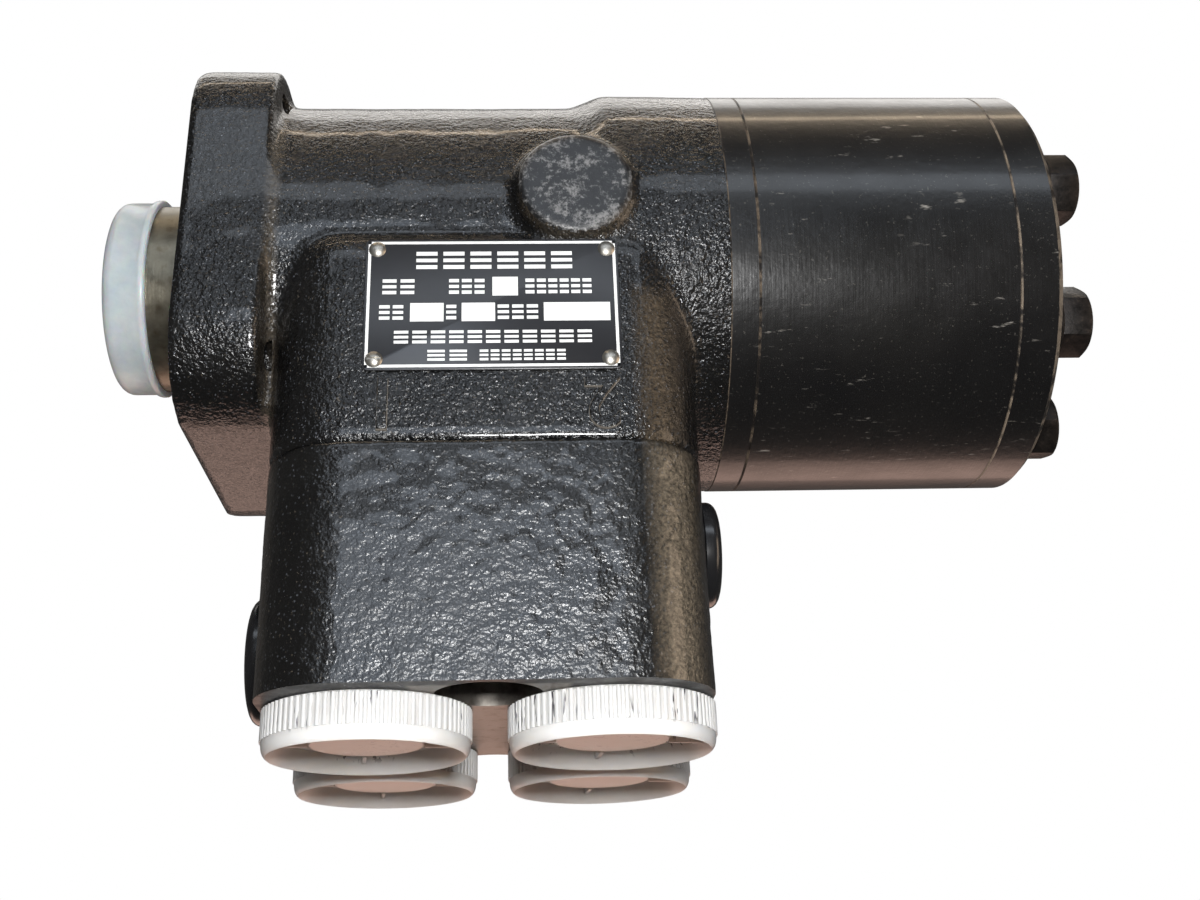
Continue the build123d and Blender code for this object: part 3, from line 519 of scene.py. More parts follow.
housing = {
    "flangeHalf": 42 * mm, "flangeTop": 40 * mm, "flangeThick": 17 * mm, "flangeCorner": 19 * mm,
    "neckStart": 10 * mm, "neckRadius": 41.8 * mm, "stepStart": 78.5 * mm, "stepEnd": 85 * mm,
    "barrelRadius": 44.5 * mm, "endRadius": 44.1 * mm, "length": 108 * mm, "spare": 2 * mm,
    "padLow": -53.1 * mm, "padTop": -8 * mm, "padLean": 5 * mm, "padHalf": 43.9 * mm,
    "padStart": 18.9 * mm, "padEnd": 100.7 * mm, "padCorner": 15 * mm, "seamEase": 0.6 * mm,
    "archCorner": 19 * mm, "archHigh": 0.5 * mm, "archSide": 5 * mm, "archDeep": 30 * mm,
    "bossPlace": (77.9 * mm, 1.0 * mm), "bossRadius": 11.1 * mm, "bossFace": -46.35 * mm,
    "bossDraft": 20, "bossLong": 14 * mm, "bossWorn": 0.7 * mm,
    "markPlaces": (("1", 41.2 * mm), ("2", 81.6 * mm)), "markBase": -41 * mm,
    "markHigh": 10 * mm, "markFont": 1.4, "markSunk": 0.3 * mm, "markProud": 0.75 * mm,
    "markRound": 0.32 * mm, "markFace": 0.5 * mm,
    "voxel": 0.92 * mm, "castWaves": (9 * mm, 0.3 * mm), "castGrain": (2.4 * mm, 0.07 * mm),
    "machinedFront": 1.2 * mm, "turnedEnd": 99 * mm, "turnedRadius": 40 * mm,
    "holeSpread": 29.17 * mm, "holeRadius": 4.25 * mm, "holeDeep": 18.4 * mm,
}


# waves and grain of (size, strength) push the surface in and out, by the share at each place
def castSkin(piece, plan, share):
    group = piece.vertex_groups.new(name="castSkin")
    for vertex in piece.data.vertices:
        group.add([vertex.index], share(vertex.co), "REPLACE")
    for name, basis in (("castWaves", "ORIGINAL_PERLIN"), ("castGrain", "IMPROVED_PERLIN")):
        pattern = bpy.data.textures.new(name, "CLOUDS")
        pattern.noise_scale, strength = plan[name]
        pattern.noise_basis = basis
        useModifier(piece, "DISPLACE", texture=pattern, strength=strength,
                    vertex_group=group.name)


# plain raised numbers beside two of the ports, cast upside down
def castMarks():
    h = housing
    marks = []
    for numeral, x in h["markPlaces"]:
        clearSelection()
        bpy.ops.object.text_add(location=(x, -h["padHalf"] + h["markSunk"], h["markBase"]),
                                rotation=(math.pi / 2, math.pi, 0))
        mark = bpy.context.object
        mark.data.body = numeral
        mark.data.size = h["markHigh"] * h["markFont"]
        mark.data.align_x = "CENTER"
        mark.data.extrude = h["markProud"]
        mark.data.bevel_depth = h["markRound"]
        mark.data.bevel_resolution = 1
        bpy.ops.object.convert(target="MESH")
        marks.append(settle(bpy.context.object, "castMark"))
    return marks


# the pad for the port block leans in at its top and follows an arch along the shaft
def makePad():
    h = housing
    low, top = h["padLow"] - h["seamEase"] / 3, h["padTop"]
    pad = addBlock("pad", (h["padStart"], -h["padHalf"], low), (h["padEnd"], h["padHalf"], top))
    bevelAlong(pad, 2, h["padCorner"], 10)
    reach = h["padHalf"] + h["archSide"]
    arch = addBlock("arch", (h["padStart"] - mm, -reach, h["padLow"] - h["archDeep"]),
                    (h["padEnd"] + mm, reach, top + h["archHigh"]))
    bevelWhere(arch, lambda a, b: abs(a.x - b.x) < hair and a.z > top and b.z > top,
               h["archCorner"], 8)
    bevelRim(pad, low, h["seamEase"], 3)
    bevelRim(pad, top, h["padLean"], 4)
    cutAway(pad, [arch], "INTERSECT")
    return pad


def makeBoss():
    h = housing
    x, z = h["bossPlace"]
    flare = h["bossLong"] * math.tan(math.radians(h["bossDraft"]))
    clearSelection()
    bpy.ops.mesh.primitive_cone_add(
        vertices=72, radius1=h["bossRadius"] + flare, radius2=h["bossRadius"],
        depth=h["bossLong"], location=(x, h["bossFace"] + h["bossLong"] / 2, z),
        rotation=(math.pi / 2, 0, 0))
    return settle(bpy.context.object, "boss")


# the machined front and the turned end of the barrel have no cast skin
def housingSkin(spot):
    h = housing
    front = spot.x < h["machinedFront"]
    end = spot.x > h["turnedEnd"] and math.hypot(spot.y, spot.z) > h["turnedRadius"]
    return 0.0 if front or end else 1.0


def paintHousing(piece):
    h = housing
    giveFinish(piece, finishes["castBlack"], finishes["blockFace"], finishes["bossWorn"],
               finishes["markSideHighlight"])
    for face in piece.data.polygons:
        spot = face.center
        if face.normal.z < -0.99 and abs(spot.z - h["padLow"]) < near:
            face.material_index = 1
        if spot.y < h["bossFace"] + h["bossWorn"]:
            face.material_index = 2
        # the sides of the raised numbers take a lighter broken paint, a painted highlight where
        # their edges catch light
        raised = spot.y < -h["padHalf"] + h["markFace"] and abs(face.normal.y) < 0.9
        if raised and abs(spot.z - h["markBase"] + h["markHigh"] / 2) < h["markHigh"] * 0.55:
            face.material_index = 3


def makeHousing():
    h = housing
    flange = addBlock("castHousing", (0, -h["flangeHalf"], -h["flangeHalf"]),
                      (h["flangeThick"], h["flangeHalf"], h["flangeTop"]))
    bevelAlong(flange, 0, h["flangeCorner"], 10)
    end = h["length"] + h["spare"]
    barrel = turnOnLathe("barrel", [
        (h["neckStart"], 0), (h["neckStart"], h["neckRadius"]), (h["stepStart"], h["neckRadius"]),
        (h["stepEnd"], h["barrelRadius"]), (end, h["endRadius"]), (end, 0)], steps=180)
    pad = makePad()
    joinInto(flange, [barrel, pad, makeBoss()])
    useModifier(flange, "REMESH", mode="VOXEL", voxel_size=h["voxel"])
    useModifier(flange, "SMOOTH", factor=0.5, iterations=9)
    castSkin(flange, h, housingSkin)
    cutFlat(flange, (h["length"], 0, 0), axisX)
    cutFlat(flange, (0, 0, h["padLow"]), (0, 0, -1))
    sides = (-h["holeSpread"], h["holeSpread"])
    cutAway(flange, [addRod("drill", (-mm, y, z), axisX, h["holeRadius"], h["holeDeep"] + mm, 40)
                     for y in sides for z in sides])
    joinInto(flange, castMarks())
    paintHousing(flange)
    shadeSmooth(flange, 45)
    return flange


castHousing = makeHousing()
placeIn(castHousing, "body", "housing")
print("steering unit: housing cast,", len(castHousing.data.polygons), "faces")


block = {
    "start": 18.8 * mm, "end": 100.8 * mm, "half": 45 * mm, "corner": 16 * mm, "skin": 0.17 * mm,
    "top": -53.1 * mm, "bottom": -96.6 * mm, "spare": 2 * mm,
    "voxel": 0.62 * mm, "castWaves": (7 * mm, 0.35 * mm), "castGrain": (2.1 * mm, 0.22 * mm),
    "portX": (38.25 * mm, 82.55 * mm), "portY": (-21.5 * mm, 21.5 * mm), "portRadius": 9 * mm,
    "portDeep": 21 * mm, "clampX": 60.3 * mm, "clampY": 33.8 * mm, "sinkRadius": 9.6 * mm,
    "sinkDeep": 14.6 * mm, "sinkOpen": 3 * mm, "sinkSkin": 1.4 * mm,
}


# the underside, the ports and the recesses of the clamp screws are bare metal
def paintBlock(piece):
    b = block
    giveFinish(piece, finishes["blockBlack"], finishes["blockFace"])
    slack = near / 2
    for face in piece.data.polygons:
        spot = face.center
        flat = face.normal.z < -0.99 and abs(spot.z - b["bottom"]) < near
        port = any(math.hypot(spot.x - x, spot.y - y) < b["portRadius"] + near
                   for x in b["portX"] for y in b["portY"])
        across = abs(spot.x - b["clampX"]) < b["sinkRadius"] + slack
        behind = b["clampY"] - b["sinkRadius"] - slack < abs(spot.y) < b["half"] - b["sinkSkin"]
        sink = spot.z < b["bottom"] + b["sinkDeep"] + near and across and behind
        if flat or port or sink:
            face.material_index = 1


def makeBlock():
    b = block
    rim = b["top"] + housing["seamEase"] / 3
    half = b["half"] - b["skin"]
    piece = addBlock("portBlockCasting", (b["start"] + b["skin"], -half, b["bottom"] - b["spare"]),
                     (b["end"] - b["skin"], half, rim))
    bevelAlong(piece, 2, b["corner"], 12)
    bevelRim(piece, rim, housing["seamEase"], 3)
    useModifier(piece, "REMESH", mode="VOXEL", voxel_size=b["voxel"])
    useModifier(piece, "SMOOTH", factor=0.5, iterations=4)
    castSkin(piece, b, lambda spot: 1.0)
    cutFlat(piece, (0, 0, b["top"]), axisZ)
    cutFlat(piece, (0, 0, b["bottom"]), (0, 0, -1))
    under = b["bottom"] - mm
    cutAway(piece, [addRod("sink", (b["clampX"], y, under), axisZ, b["sinkRadius"],
                           b["sinkDeep"] + mm, 64) for y in (-b["clampY"], b["clampY"])])
    cutAway(piece, [addBlock("notch", (b["clampX"] - b["sinkRadius"], b["clampY"], under),
                             (b["clampX"] + b["sinkRadius"], b["half"] + b["sinkOpen"],
                              b["bottom"] + b["sinkDeep"]))])
    cutAway(piece, [addRod("port", (x, y, under), axisZ, b["portRadius"], b["portDeep"] + mm, 64)
                    for x in b["portX"] for y in b["portY"]])
    paintBlock(piece)
    shadeSmooth(piece, 45)
    return piece


portBlock = makeBlock()
placeIn(portBlock, "body", "port_block")
print("steering unit: port block cast,", len(portBlock.data.polygons), "faces")


stack = {
    "radius": 44.2 * mm, "spacer": (108 * mm, 113.8 * mm), "ring": (113.8 * mm, 165.8 * mm),
    "cover": (165.8 * mm, 174.5 * mm), "coverEdge": 1.2 * mm, "bore": 24 * mm, "seam": 0.28 * mm,
    "bolts": 7, "boltCircle": 33 * mm, "boltRoom": 4.3 * mm,
}


def boltSpots():
    reach, count = stack["boltCircle"], stack["bolts"]
    return [(reach * math.sin(math.tau * k / count), -reach * math.cos(math.tau * k / count))
            for k in range(count)]


# the slanted edges of each plate get a lighter broken paint: worn paint at the seams of the rings,
# and a painted highlight on the end cover's chamfers
def paintStack(piece, edgeFinish):
    giveFinish(piece, finishes["turnedBlack"], finishes[edgeFinish])
    for face in piece.data.polygons:
        out = math.hypot(face.center.y, face.center.z)
        slanted = 0.3 < abs(face.normal.x) < 0.95
        if slanted and out > stack["radius"] - stack["coverEdge"] - near:
            face.material_index = 1
    shadeSmooth(piece, 25)
    return piece


def makeRing(name, start, end):
    bore, radius, seam = stack["bore"], stack["radius"], stack["seam"]
    return paintStack(turnOnLathe(name, [
        (start, bore), (start, radius - seam), (start + seam, radius), (end - seam, radius),
        (end, radius - seam), (end, bore), (start, bore)], steps=200), "seamMetal")


def makeCover():
    start, end = stack["cover"]
    radius, seam, edge = stack["radius"], stack["seam"], stack["coverEdge"]
    cover = turnOnLathe("endCover", [
        (start, 0), (start, radius - seam), (start + seam, radius), (end - edge, radius),
        (end, radius - edge), (end, 0)], steps=200)
    cutAway(cover, [addRod("boltHole", (start - mm, y, z), axisX, stack["boltRoom"],
                           end - start + 2 * mm, 32) for y, z in boltSpots()])
    # the end cover's chamfers take the painted highlight
    return paintStack(cover, "coverEdgeHighlight")


spacerPlate = makeRing("spacerPlate", *stack["spacer"])
meteringRing = makeRing("meteringRing", *stack["ring"])
endCover = makeCover()
placeIn(spacerPlate, "body", "spacer_plate")
placeIn(meteringRing, "body", "stator_ring")
placeIn(endCover, "body", "end_cover")
print("steering unit: metering stack turned")


bolt = {
    "flats": 13 * mm, "headHigh": 6.4 * mm, "seat": 176.1 * mm, "shank": 4 * mm,
    "shankEnd": 150 * mm, "shankIn": 0.4 * mm, "crownBack": 0.2 * mm, "crownSide": 0.05 * mm,
    "crownHigh": 0.95 * mm, "crownIn": 1.25 * mm,
    "cornerEase": 0.18 * mm, "turns": (0.2, 0.72, 0.35, 0.9, 0.55, 0.1, 0.8), "long": 3,
    "washerRadius": 7.9 * mm, "washerThick": 1.6 * mm, "washerBore": 4.15 * mm,
    "washerBack": 0.25 * mm, "washerFront": 0.3 * mm,
}


# a six-sided head whose corners are cut by a cone, as a turned crown leaves them
def makeBolt(name, y, z, turn):
    b = bolt
    corner = b["flats"] / 2 / math.cos(math.pi / 6)
    start, end = b["seat"], b["seat"] + b["headHigh"]
    clearSelection()
    bpy.ops.mesh.primitive_cylinder_add(
        vertices=6, radius=corner, depth=b["headHigh"], location=((start + end) / 2, 0, 0),
        rotation=(0, math.pi / 2, 0))
    head = settle(bpy.context.object, name)
    crown = turnOnLathe("crown", [
        (start - mm, 0), (start - mm, corner + b["crownBack"]),
        (end - b["crownHigh"], corner + b["crownSide"]), (end, corner - b["crownIn"]),
        (end, 0)], steps=48)
    cutAway(head, [crown], "INTERSECT")
    softenEdges(head, b["cornerEase"], 25)
    shank = addRod("shank", (b["shankEnd"], 0, 0), axisX, b["shank"],
                   start - b["shankEnd"] + b["shankIn"], 32)
    joinInto(head, [shank])
    head.data.transform(Matrix.Translation((0, y, z)) @ Matrix.Rotation(turn, 4, "X"))
    giveFinish(head, finishes["bolt"])
    return head


def makeWasher(y, z):
    b = bolt
    low, high = b["seat"] - b["washerThick"], b["seat"]
    bore, radius = b["washerBore"], b["washerRadius"]
    back, front = b["washerBack"], b["washerFront"]
    ring = turnOnLathe("coverWasher", [
        (low, bore), (low, radius - back), (low + back, radius), (high - front, radius),
        (high, radius - front), (high, bore), (low, bore)], centre=(0, y, z), steps=56)
    giveFinish(ring, finishes["bolt"])
    shadeSmooth(ring, 35)
    return ring


def makeFasteners():
    bolts, washers = [], []
    for k, (y, z) in enumerate(boltSpots()):
        name = "longBolt" if k == bolt["long"] else "coverBolt"
        bolts.append(makeBolt(name, y, z, bolt["turns"][k]))
        washers.append(makeWasher(y, z))
    special = bolts.pop(bolt["long"])
    return joinInto(bolts[0], bolts[1:]), special, joinInto(washers[0], washers[1:])


coverBolts, longBolt, coverWashers = makeFasteners()
placeIn(coverBolts, "body", "cover_bolts")
placeIn(longBolt, "body", "ball_bolt")
placeIn(coverWashers, "body", "cover_washers")
print("steering unit: bolts and washers made")


gland = {
    "radius": 20.5 * mm, "front": -19.4 * mm, "bore": 10.4 * mm, "sealBore": 14.5 * mm,
    "sealDeep": 6 * mm, "edge": 1 * mm,
}


def makeGland():
    g = gland
    front, floor = g["front"], g["front"] + g["sealDeep"]
    piece = turnOnLathe("inputGland", [
        (floor, g["bore"]), (floor, g["sealBore"]), (front, g["sealBore"]),
        (front, g["radius"] - g["edge"]), (front + g["edge"], g["radius"]), (0, g["radius"]),
        (0, g["bore"]), (floor, g["bore"])], steps=128)
    giveFinish(piece, finishes["glandMetal"])
    shadeSmooth(piece, 30)
    return piece


inputGland = makeGland()
placeIn(inputGland, "body", "input_gland")

columnCap = {
    "front": -20.4 * mm, "length": 9.2 * mm, "radius": 21.3 * mm, "rim": 21.9 * mm,
    "inner": 20.6 * mm, "wall": 0.9 * mm, "round": 2.2 * mm, "lipRound": 0.35 * mm,
}


# its face is a little hollow, its edge is round, and a small lip goes round the open end
def makeColumnCap():
    c = columnCap
    front, end = c["front"], c["front"] + c["length"]
    hollow = [(front + 0.35 * mm, 0), (front + 0.2 * mm, 12 * mm), (front, 17.5 * mm)]
    lip = [(end - 1.9 * mm, c["radius"]), (end - 1.5 * mm, c["rim"] - 0.15 * mm),
           (end - 1.0 * mm, c["rim"]), (end - c["lipRound"], c["rim"]),
           (end, c["rim"] - c["lipRound"])]
    inside = [(end, c["inner"]), (front + 2.4 * mm, c["inner"]),
              (front + 1.2 * mm, c["inner"] - 1.4 * mm), (front + c["wall"], 17 * mm),
              (front + c["wall"], 0)]
    corner = roundTo(front, c["radius"], c["round"], c["round"])
    piece = turnOnLathe("columnCap", hollow + corner + lip + inside, steps=128)
    giveFinish(piece, finishes["columnCap"])
    shadeSmooth(piece, 50)
    return piece


milkyCap = makeColumnCap()
placeIn(milkyCap, "column_cap_body", "column_cap")
print("steering unit: column end made")


portCap = {
    "radius": 19.0 * mm, "top": -96.62 * mm, "bottom": -104.92 * mm, "dish": 17.3 * mm,
    "dishDeep": 3.6 * mm, "hub": 10.6 * mm, "hubDeep": 2.2 * mm, "edgeDeep": 2.1 * mm,
    "edgeWide": 1.1 * mm, "topEase": 0.4 * mm, "ridges": 84, "ridgeRadius": 0.5 * mm,
    "ridgeProud": 0.32 * mm, "ridgeLow": -102.4 * mm, "ridgeShort": 0.25 * mm,
    "stem": 8.85 * mm, "stemTop": -84.62 * mm, "stemEase": 0.6 * mm, "stemBore": 7.4 * mm,
    "stemFloor": 4.6 * mm, "ribs": 4, "ribWide": 0.8 * mm, "ribTurn": 0.12, "ribLow": 1.9 * mm,
    "ribHigh": 0.4 * mm, "ribIn": 0.2 * mm, "ribEase": 0.25 * mm,
}


# from the middle of the hub out over the dish and its rim, up the side and down into the stem
def capProfile():
    c = portCap
    low, top, hub, dish = c["bottom"], c["top"], c["hub"], c["dish"]
    hubZ, floorZ, innerZ = low + c["hubDeep"], low + c["dishDeep"], low + c["stemFloor"]
    outer = c["radius"] - c["ridgeProud"]
    face = [(hubZ, 0), (hubZ, hub - 0.5 * mm), (hubZ + 0.4 * mm, hub), (floorZ, hub + 0.5 * mm)]
    bowl = [(floorZ, dish - 1.6 * mm), (low + 1.6 * mm, dish - 0.4 * mm),
            (low + 0.3 * mm, dish + 0.15 * mm), (low, dish + 0.5 * mm)]
    edge = roundTo(low, outer, c["edgeDeep"], c["edgeWide"])[1:]
    side = [(top - c["topEase"], outer), (top, outer - c["topEase"]), (top, c["stem"])]
    stem = [(c["stemTop"] - c["stemEase"], c["stem"]), (c["stemTop"], c["stem"] - c["stemEase"]),
            (c["stemTop"], c["stemBore"]), (innerZ, c["stemBore"]), (innerZ, 0)]
    return face + bowl + edge + side + stem


def makePortCap():
    c = portCap
    piece = turnOnLathe("portCap", capProfile(), axis=axisZ, steps=144)
    details = []
    reach = c["radius"] - c["ridgeRadius"]
    for k in range(c["ridges"]):
        angle = math.tau * k / c["ridges"]
        place = (reach * math.cos(angle), reach * math.sin(angle), c["ridgeLow"])
        details.append(addRod("ridge", place, axisZ, c["ridgeRadius"],
                              c["top"] - c["ridgeShort"] - c["ridgeLow"], 10))
    low, high = c["bottom"] + c["ribLow"], c["bottom"] + c["dishDeep"] + c["ribHigh"]
    for k in range(c["ribs"]):
        rib = addBlock("rib", (c["hub"] - c["ribIn"], -c["ribWide"] / 2, low),
                       (c["dish"] - c["ribIn"], c["ribWide"] / 2, high))
        turn = math.tau * k / c["ribs"] + c["ribTurn"]
        rib.data.transform(Matrix.Rotation(turn, 4, "Z"))
        softenEdges(rib, c["ribEase"])
        details.append(rib)
    joinInto(piece, details)
    shadeSmooth(piece, 38)
    return piece


def makePortCaps():
    model = makePortCap()
    for end, y in zip(("front", "rear"), block["portY"]):
        for side, x in zip(("left", "right"), block["portX"]):
            twin = copyOf(model, "portCap" + end.title() + side.title())
            twin.data.transform(Matrix.Translation((x, y, 0)))
            giveFinish(twin, finishes["capScuffed" if end == "front" else "capClean"])
            placeIn(twin, f"cap_{end}_{side}_body", f"port_cap_{end}_{side}")
    bpy.data.objects.remove(model)


makePortCaps()
print("steering unit: port caps pressed")


sidePlugs = {
    "stand": 4.2 * mm, "hollow": 0.5 * mm, "roundDeep": 1.9 * mm, "roundWide": 2.4 * mm,
    "neck": 0.8 * mm, "threadLong": 7.6 * mm, "keyRadius": 3.4 * mm, "keyDeep": 3.2 * mm,
    "relief": {"face": 18.8 * mm, "outward": -1, "y": -7.5 * mm, "z": -83.8 * mm,
               "radius": 12.1 * mm, "thread": 8 * mm},
    "suction": {"face": 100.8 * mm, "outward": 1, "y": -14 * mm, "z": -65.7 * mm,
                "radius": 10.4 * mm, "thread": 7.5 * mm},
}


def makePlug(name, plan):
    p, outward = sidePlugs, plan["outward"]
    stand, floor, radius = p["stand"], p["stand"] - p["hollow"], plan["radius"]
    dome = [(floor, 0), (floor, 3.2 * mm), (stand, 3.6 * mm), (stand, radius - 2.6 * mm)]
    edge = roundTo(stand, radius, -p["roundDeep"], p["roundWide"])[1:]
    shank = [(mm, radius), (p["neck"], radius - 0.3 * mm), (p["neck"], plan["thread"]),
             (-p["threadLong"], plan["thread"]), (-p["threadLong"], 0)]
    piece = turnOnLathe(name, dome + edge + shank, centre=(plan["face"], plan["y"], plan["z"]),
                        axis=(outward, 0, 0), steps=96)
    giveFinish(piece, finishes["plug"])
    mouth = (plan["face"] + outward * (stand + mm), plan["y"], plan["z"])
    cutAway(piece, [addRod("key", mouth, (-outward, 0, 0), p["keyRadius"], p["keyDeep"] + mm, 6)])
    shadeSmooth(piece, 35)
    return piece


reliefPlug = makePlug("reliefPlug", sidePlugs["relief"])
suctionPlug = makePlug("suctionPlug", sidePlugs["suction"])
placeIn(reliefPlug, "body", "relief_plug")
placeIn(suctionPlug, "body", "suction_plug")
print("steering unit: side plugs made")


plate = {
    "low": (37.2 * mm, -39.0 * mm), "high": (85.6 * mm, -11.2 * mm), "back": -44 * mm,
    "thick": 0.5 * mm, "corner": 1 * mm, "edgeEase": 0.12 * mm, "ink": 0.05 * mm,
    "inkSunk": 0.01 * mm, "border": 0.55 * mm, "margin": 0.5 * mm, "rivetInset": 2.2 * mm,
}
# blank fields as (left, right, low, high), shares of the plate's width and height
blankFields = [
    (0.50, 0.60, 0.555, 0.70), (0.18, 0.31, 0.36, 0.50), (0.38, 0.51, 0.36, 0.50),
    (0.70, 0.96, 0.36, 0.50),
]
# rows of plain dashes as (left, right, low, high, dashes)
dashRows = [
    (0.20, 0.84, 0.765, 0.90, 6), (0.07, 0.21, 0.57, 0.685, 2), (0.33, 0.48, 0.57, 0.685, 3),
    (0.63, 0.90, 0.57, 0.685, 6), (0.06, 0.165, 0.375, 0.485, 2), (0.32, 0.37, 0.375, 0.485, 1),
    (0.52, 0.69, 0.375, 0.485, 3), (0.12, 0.90, 0.195, 0.29, 11), (0.25, 0.42, 0.065, 0.145, 2),
    (0.45, 0.79, 0.065, 0.145, 8),
]
# each dash is three bars, as (bottom, top) shares of its height, and leaves a gap to the next
dashBars = ((0.0, 0.22), (0.4, 0.6), (0.78, 1.0))
dashShare = 0.78


def dashesOf(left, right, low, high, count):
    pitch = (right - left) / count
    tall = high - low
    starts = [left + k * pitch for k in range(count)]
    return [(start, start + pitch * dashShare, low + bottom * tall, low + top * tall)
            for start in starts for bottom, top in dashBars]


def plateSize():
    (left, low), (right, high) = plate["low"], plate["high"]
    return left, low, right - left, high - low


# the four lines of the border, as shares of the plate
def borderBoxes():
    _, _, wide, tall = plateSize()
    edge, line = plate["margin"], plate["margin"] + plate["border"]
    across, up = (edge / wide, 1 - edge / wide), (edge / tall, 1 - edge / tall)
    return [(*across, edge / tall, line / tall), (*across, 1 - line / tall, 1 - edge / tall),
            (edge / wide, line / wide, *up), (1 - line / wide, 1 - edge / wide, *up)]


def inkBox(name, share):
    left, low, wide, tall = plateSize()
    start, end, bottom, top = share
    front = plate["back"] - plate["thick"]
    return addBlock(name, (left + start * wide, front - plate["ink"], low + bottom * tall),
                    (left + end * wide, front + plate["inkSunk"], low + top * tall))


def makePlate():
    left, low, wide, tall = plateSize()
    base = addBlock("nameplate", (left, plate["back"] - plate["thick"], low),
                    (left + wide, plate["back"], low + tall))
    bevelAlong(base, 1, plate["corner"], 4)
    softenEdges(base, plate["edgeEase"])
    dashes = [share for row in dashRows for share in dashesOf(*row)]
    inks = [inkBox("field", share) for share in blankFields + dashes]
    inks += [inkBox("border", share) for share in borderBoxes()]
    for piece in (base, *inks):
        giveFinish(piece, finishes["plateBlack"], finishes["plateWhite"])
    for ink in inks:
        for face in ink.data.polygons:
            face.material_index = 1
    return joinInto(base, inks)


# a rivet's dome as (height, radius), in mm, and the slot across one of them
rivetDome = [
    (0.7, 0), (0.66, 0.5), (0.5, 1.0), (0.28, 1.4), (0.05, 1.65), (-0.02, 1.65), (-0.02, 0),
]
rivetSlot = {"half": 1.8 * mm, "halfWide": 0.22 * mm, "top": 0.9 * mm, "floor": 0.35 * mm}


def makeRivets():
    left, low, wide, tall = plateSize()
    inset, cut = plate["rivetInset"], rivetSlot
    front = plate["back"] - plate["thick"]
    made = []
    for x in (left + inset, left + wide - inset):
        for z in (low + inset, low + tall - inset):
            made.append(turnOnLathe("plateRivet", [(a * mm, r * mm) for a, r in rivetDome],
                                    centre=(x, front, z), axis=(0, -1, 0), steps=40))
    x, z = left + inset, low + inset
    cutAway(made[0], [addBlock("slot", (x - cut["half"], front - cut["top"], z - cut["halfWide"]),
                               (x + cut["half"], front - cut["floor"], z + cut["halfWide"]))])
    piece = joinInto(made[0], made[1:])
    giveFinish(piece, finishes["rivet"])
    shadeSmooth(piece, 35)
    return piece


nameplate = makePlate()
plateRivets = makeRivets()
placeIn(nameplate, "body", "nameplate")
placeIn(plateRivets, "body", "nameplate_rivets")
print("steering unit: nameplate fixed")


# springs of the relief and suction valves, as node: (piece, joint, end that stays, by its x)
valveSprings = {
    "relief_spring": ("reliefSpring", "relief_open", min),
    "suction_spring": ("suctionSpring", "suction_open", max),
}


def makeSpring(node, name, joint, fixedEnd):
    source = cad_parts[node]
    piece = bpy.data.objects.new(name, source.data.copy())
    bpy.context.collection.objects.link(piece)
    piece.data.transform(source.matrix_world)
    tidyShell(piece)
    giveFinish(piece, finishes["spring"])
    placeIn(piece, "body", node)
    wire = [vertex.co for vertex in piece.data.vertices]
    anchor = (fixedEnd(spot.x for spot in wire), wire[0].y, wire[0].z)
    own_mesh(piece)


for springNode, springPlan in valveSprings.items():
    makeSpring(springNode, *springPlan)
print("steering unit: valve springs coiled")


# finishes of the CAD pieces that stay as they are; the others are ground steel
innerFinish = {
    "rubber": ["dust_seal", "shaft_seal", "section_seals", "port_seals", "relief_seal",
               "suction_seal"],
    "spring": ["leaf_springs"],
    "bolt": ["clamp_screws"],
}


def dressInnerPieces():
    chosen = {node: key for key, nodes in innerFinish.items() for node in nodes}
    for node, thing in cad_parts.items():
        material = finishes[chosen.get(node, "steel")]
        if thing.material_slots:
            for slot in thing.material_slots:
                slot.material = material
        else:
            thing.data.materials.append(material)


dressInnerPieces()
print("steering unit: inner pieces finished")


# softboxes as name: (place, size, power, tone)
softboxes = {
    "flash": ((0.078, -0.29, -0.108), (0.05, 0.04), 0.85, (1.0, 1.0, 1.0)),
    "window": ((0.1, -0.85, 0.62), (1.3, 0.2), 3.2, (0.82, 0.9, 1.0)),
    "ceiling": ((0.09, -0.05, 0.75), (0.9, 0.04), 1.2, (1.0, 0.8, 0.58)),
    "blockGlow": ((0.0, -0.9, 0.13), (0.3, 0.24), 1.3, (0.76, 0.86, 1.0)),
    "sideGlow": ((0.8, -0.3, -0.1), (0.25, 0.6), 2.0, (1.0, 0.76, 0.55)),
    "rearFill": ((0.0, 0.55, 1.15), (1.6, 0.5), 6.0, (1.0, 0.97, 0.93)),
    "backGlow": ((0.05, 0.55, -0.35), (0.9, 0.3), 1.5, (1.0, 0.66, 0.54)),
}
glossOnly = ("blockGlow", "sideGlow")
studio = {
    "floorZ": -105 * mm, "floorSize": 6.0, "floorTone": 0.82,
    "sky": 0.085, "skyTone": (1.0, 0.96, 0.92), "aim": (80 * mm, 0, -20 * mm),
    "cameraPlace": (63.739 * mm, -279.766 * mm, -150.662 * mm),
    "cameraTurn": (2.01532, 0.027667, -0.038038), "lens": 42.185, "shift": (0.0246, -0.0700),
}


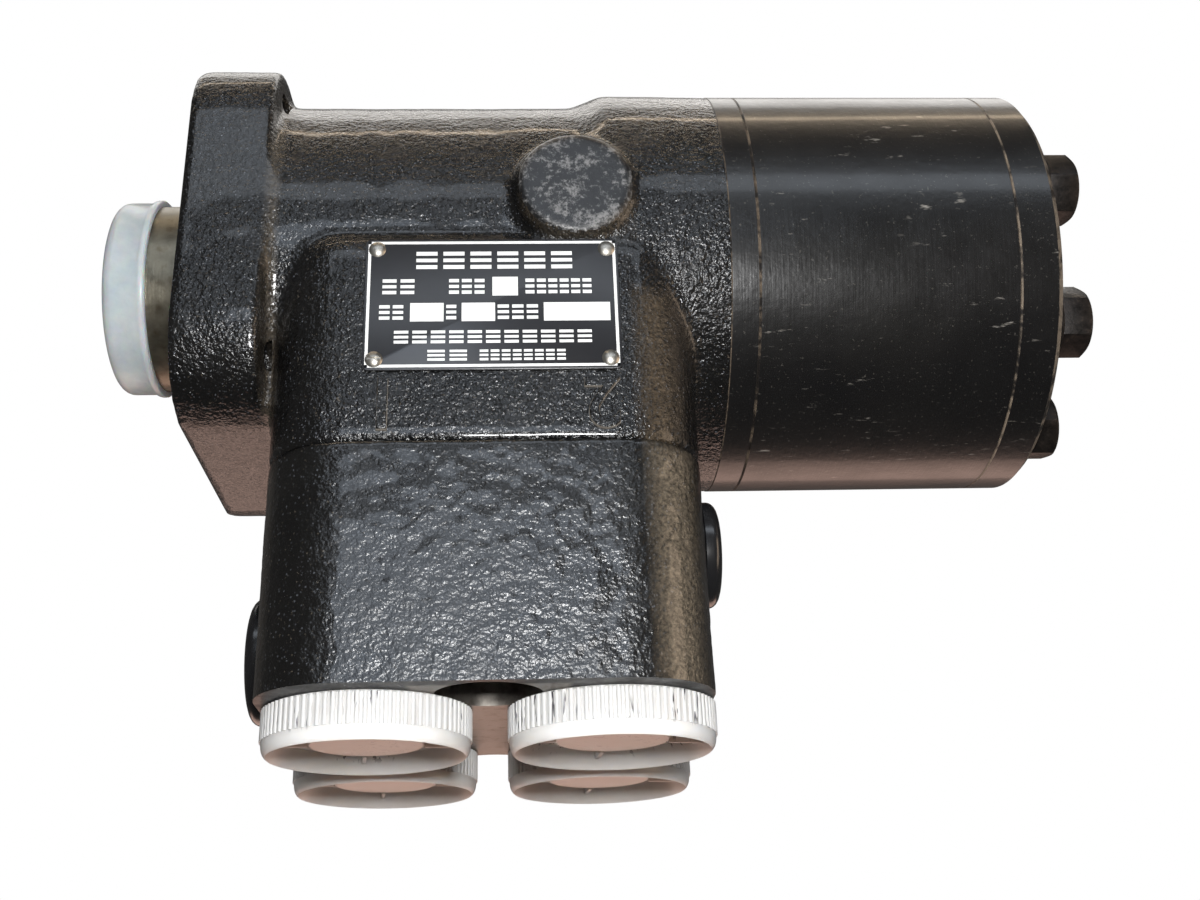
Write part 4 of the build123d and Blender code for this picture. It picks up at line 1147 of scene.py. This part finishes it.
# pale from above, and clear from below and for shadows
def makeFloor():
    clearSelection()
    bpy.ops.mesh.primitive_plane_add(size=studio["floorSize"], location=(0, 0, studio["floorZ"]))
    floor = settle(bpy.context.object, "studioFloor")
    recipe = Recipe("paleFloor").set(Roughness=0.7)
    tone = studio["floorTone"]
    recipe.finish(recipe.ramp(recipe.noise(0.3, 2.0), [(0.3, tone), (0.7, tone + 0.02)]))
    nodes = recipe.tree.nodes
    seen = nodes.new("ShaderNodeNewGeometry")
    rays = nodes.new("ShaderNodeLightPath")
    clear = nodes.new("ShaderNodeBsdfTransparent")
    blend = nodes.new("ShaderNodeMixShader")
    through = recipe.maths("MAXIMUM", seen.outputs["Backfacing"], rays.outputs["Is Shadow Ray"])
    recipe.link(through, blend.inputs["Fac"])
    recipe.link(recipe.shader.outputs["BSDF"], blend.inputs[1])
    recipe.link(clear.outputs["BSDF"], blend.inputs[2])
    recipe.link(blend.outputs["Shader"], nodes["Material Output"].inputs["Surface"])
    giveFinish(floor, recipe.material)
    floor.visible_glossy = False


# white to the camera, and dim and warm as light
def makeSky():
    world = bpy.data.worlds.new("studioSky")
    bpy.context.scene.world = world
    world.use_nodes = True
    nodes, link = world.node_tree.nodes, world.node_tree.links.new
    shade = nodes["Background"]
    shade.inputs["Color"].default_value = (*studio["skyTone"], 1)
    shade.inputs["Strength"].default_value = studio["sky"]
    seen = nodes.new("ShaderNodeBackground")
    seen.inputs["Color"].default_value = (1, 1, 1, 1)
    rays = nodes.new("ShaderNodeLightPath")
    choice = nodes.new("ShaderNodeMixShader")
    link(rays.outputs["Is Camera Ray"], choice.inputs["Fac"])
    link(shade.outputs["Background"], choice.inputs[1])
    link(seen.outputs["Background"], choice.inputs[2])
    link(choice.outputs["Shader"], nodes["World Output"].inputs["Surface"])


def addSoftbox(name, place, size, power, tone):
    clearSelection()
    turn = (Vector(studio["aim"]) - Vector(place)).to_track_quat("-Z", "Y").to_euler()
    bpy.ops.object.light_add(type="AREA", location=place, rotation=turn)
    lamp = bpy.context.object
    lamp.name = name
    lamp.data.shape = "RECTANGLE"
    lamp.data.size, lamp.data.size_y = size
    lamp.data.energy = power
    lamp.data.color = tone
    lamp.visible_diffuse = name not in glossOnly


def makeCamera():
    clearSelection()
    bpy.ops.object.camera_add(location=studio["cameraPlace"], rotation=studio["cameraTurn"])
    camera = bpy.context.object
    camera.name = "studioCamera"
    camera.data.lens = studio["lens"]
    camera.data.sensor_width = 36
    camera.data.shift_x, camera.data.shift_y = studio["shift"]
    camera.data.clip_start = 0.01
    bpy.context.scene.camera = camera


makeFloor()
makeSky()
for lampName, lampPlan in softboxes.items():
    addSoftbox(lampName, *lampPlan)
makeCamera()
bpy.context.scene.view_settings.view_transform = "Standard"
print("steering unit: stage set")

clearSelection()
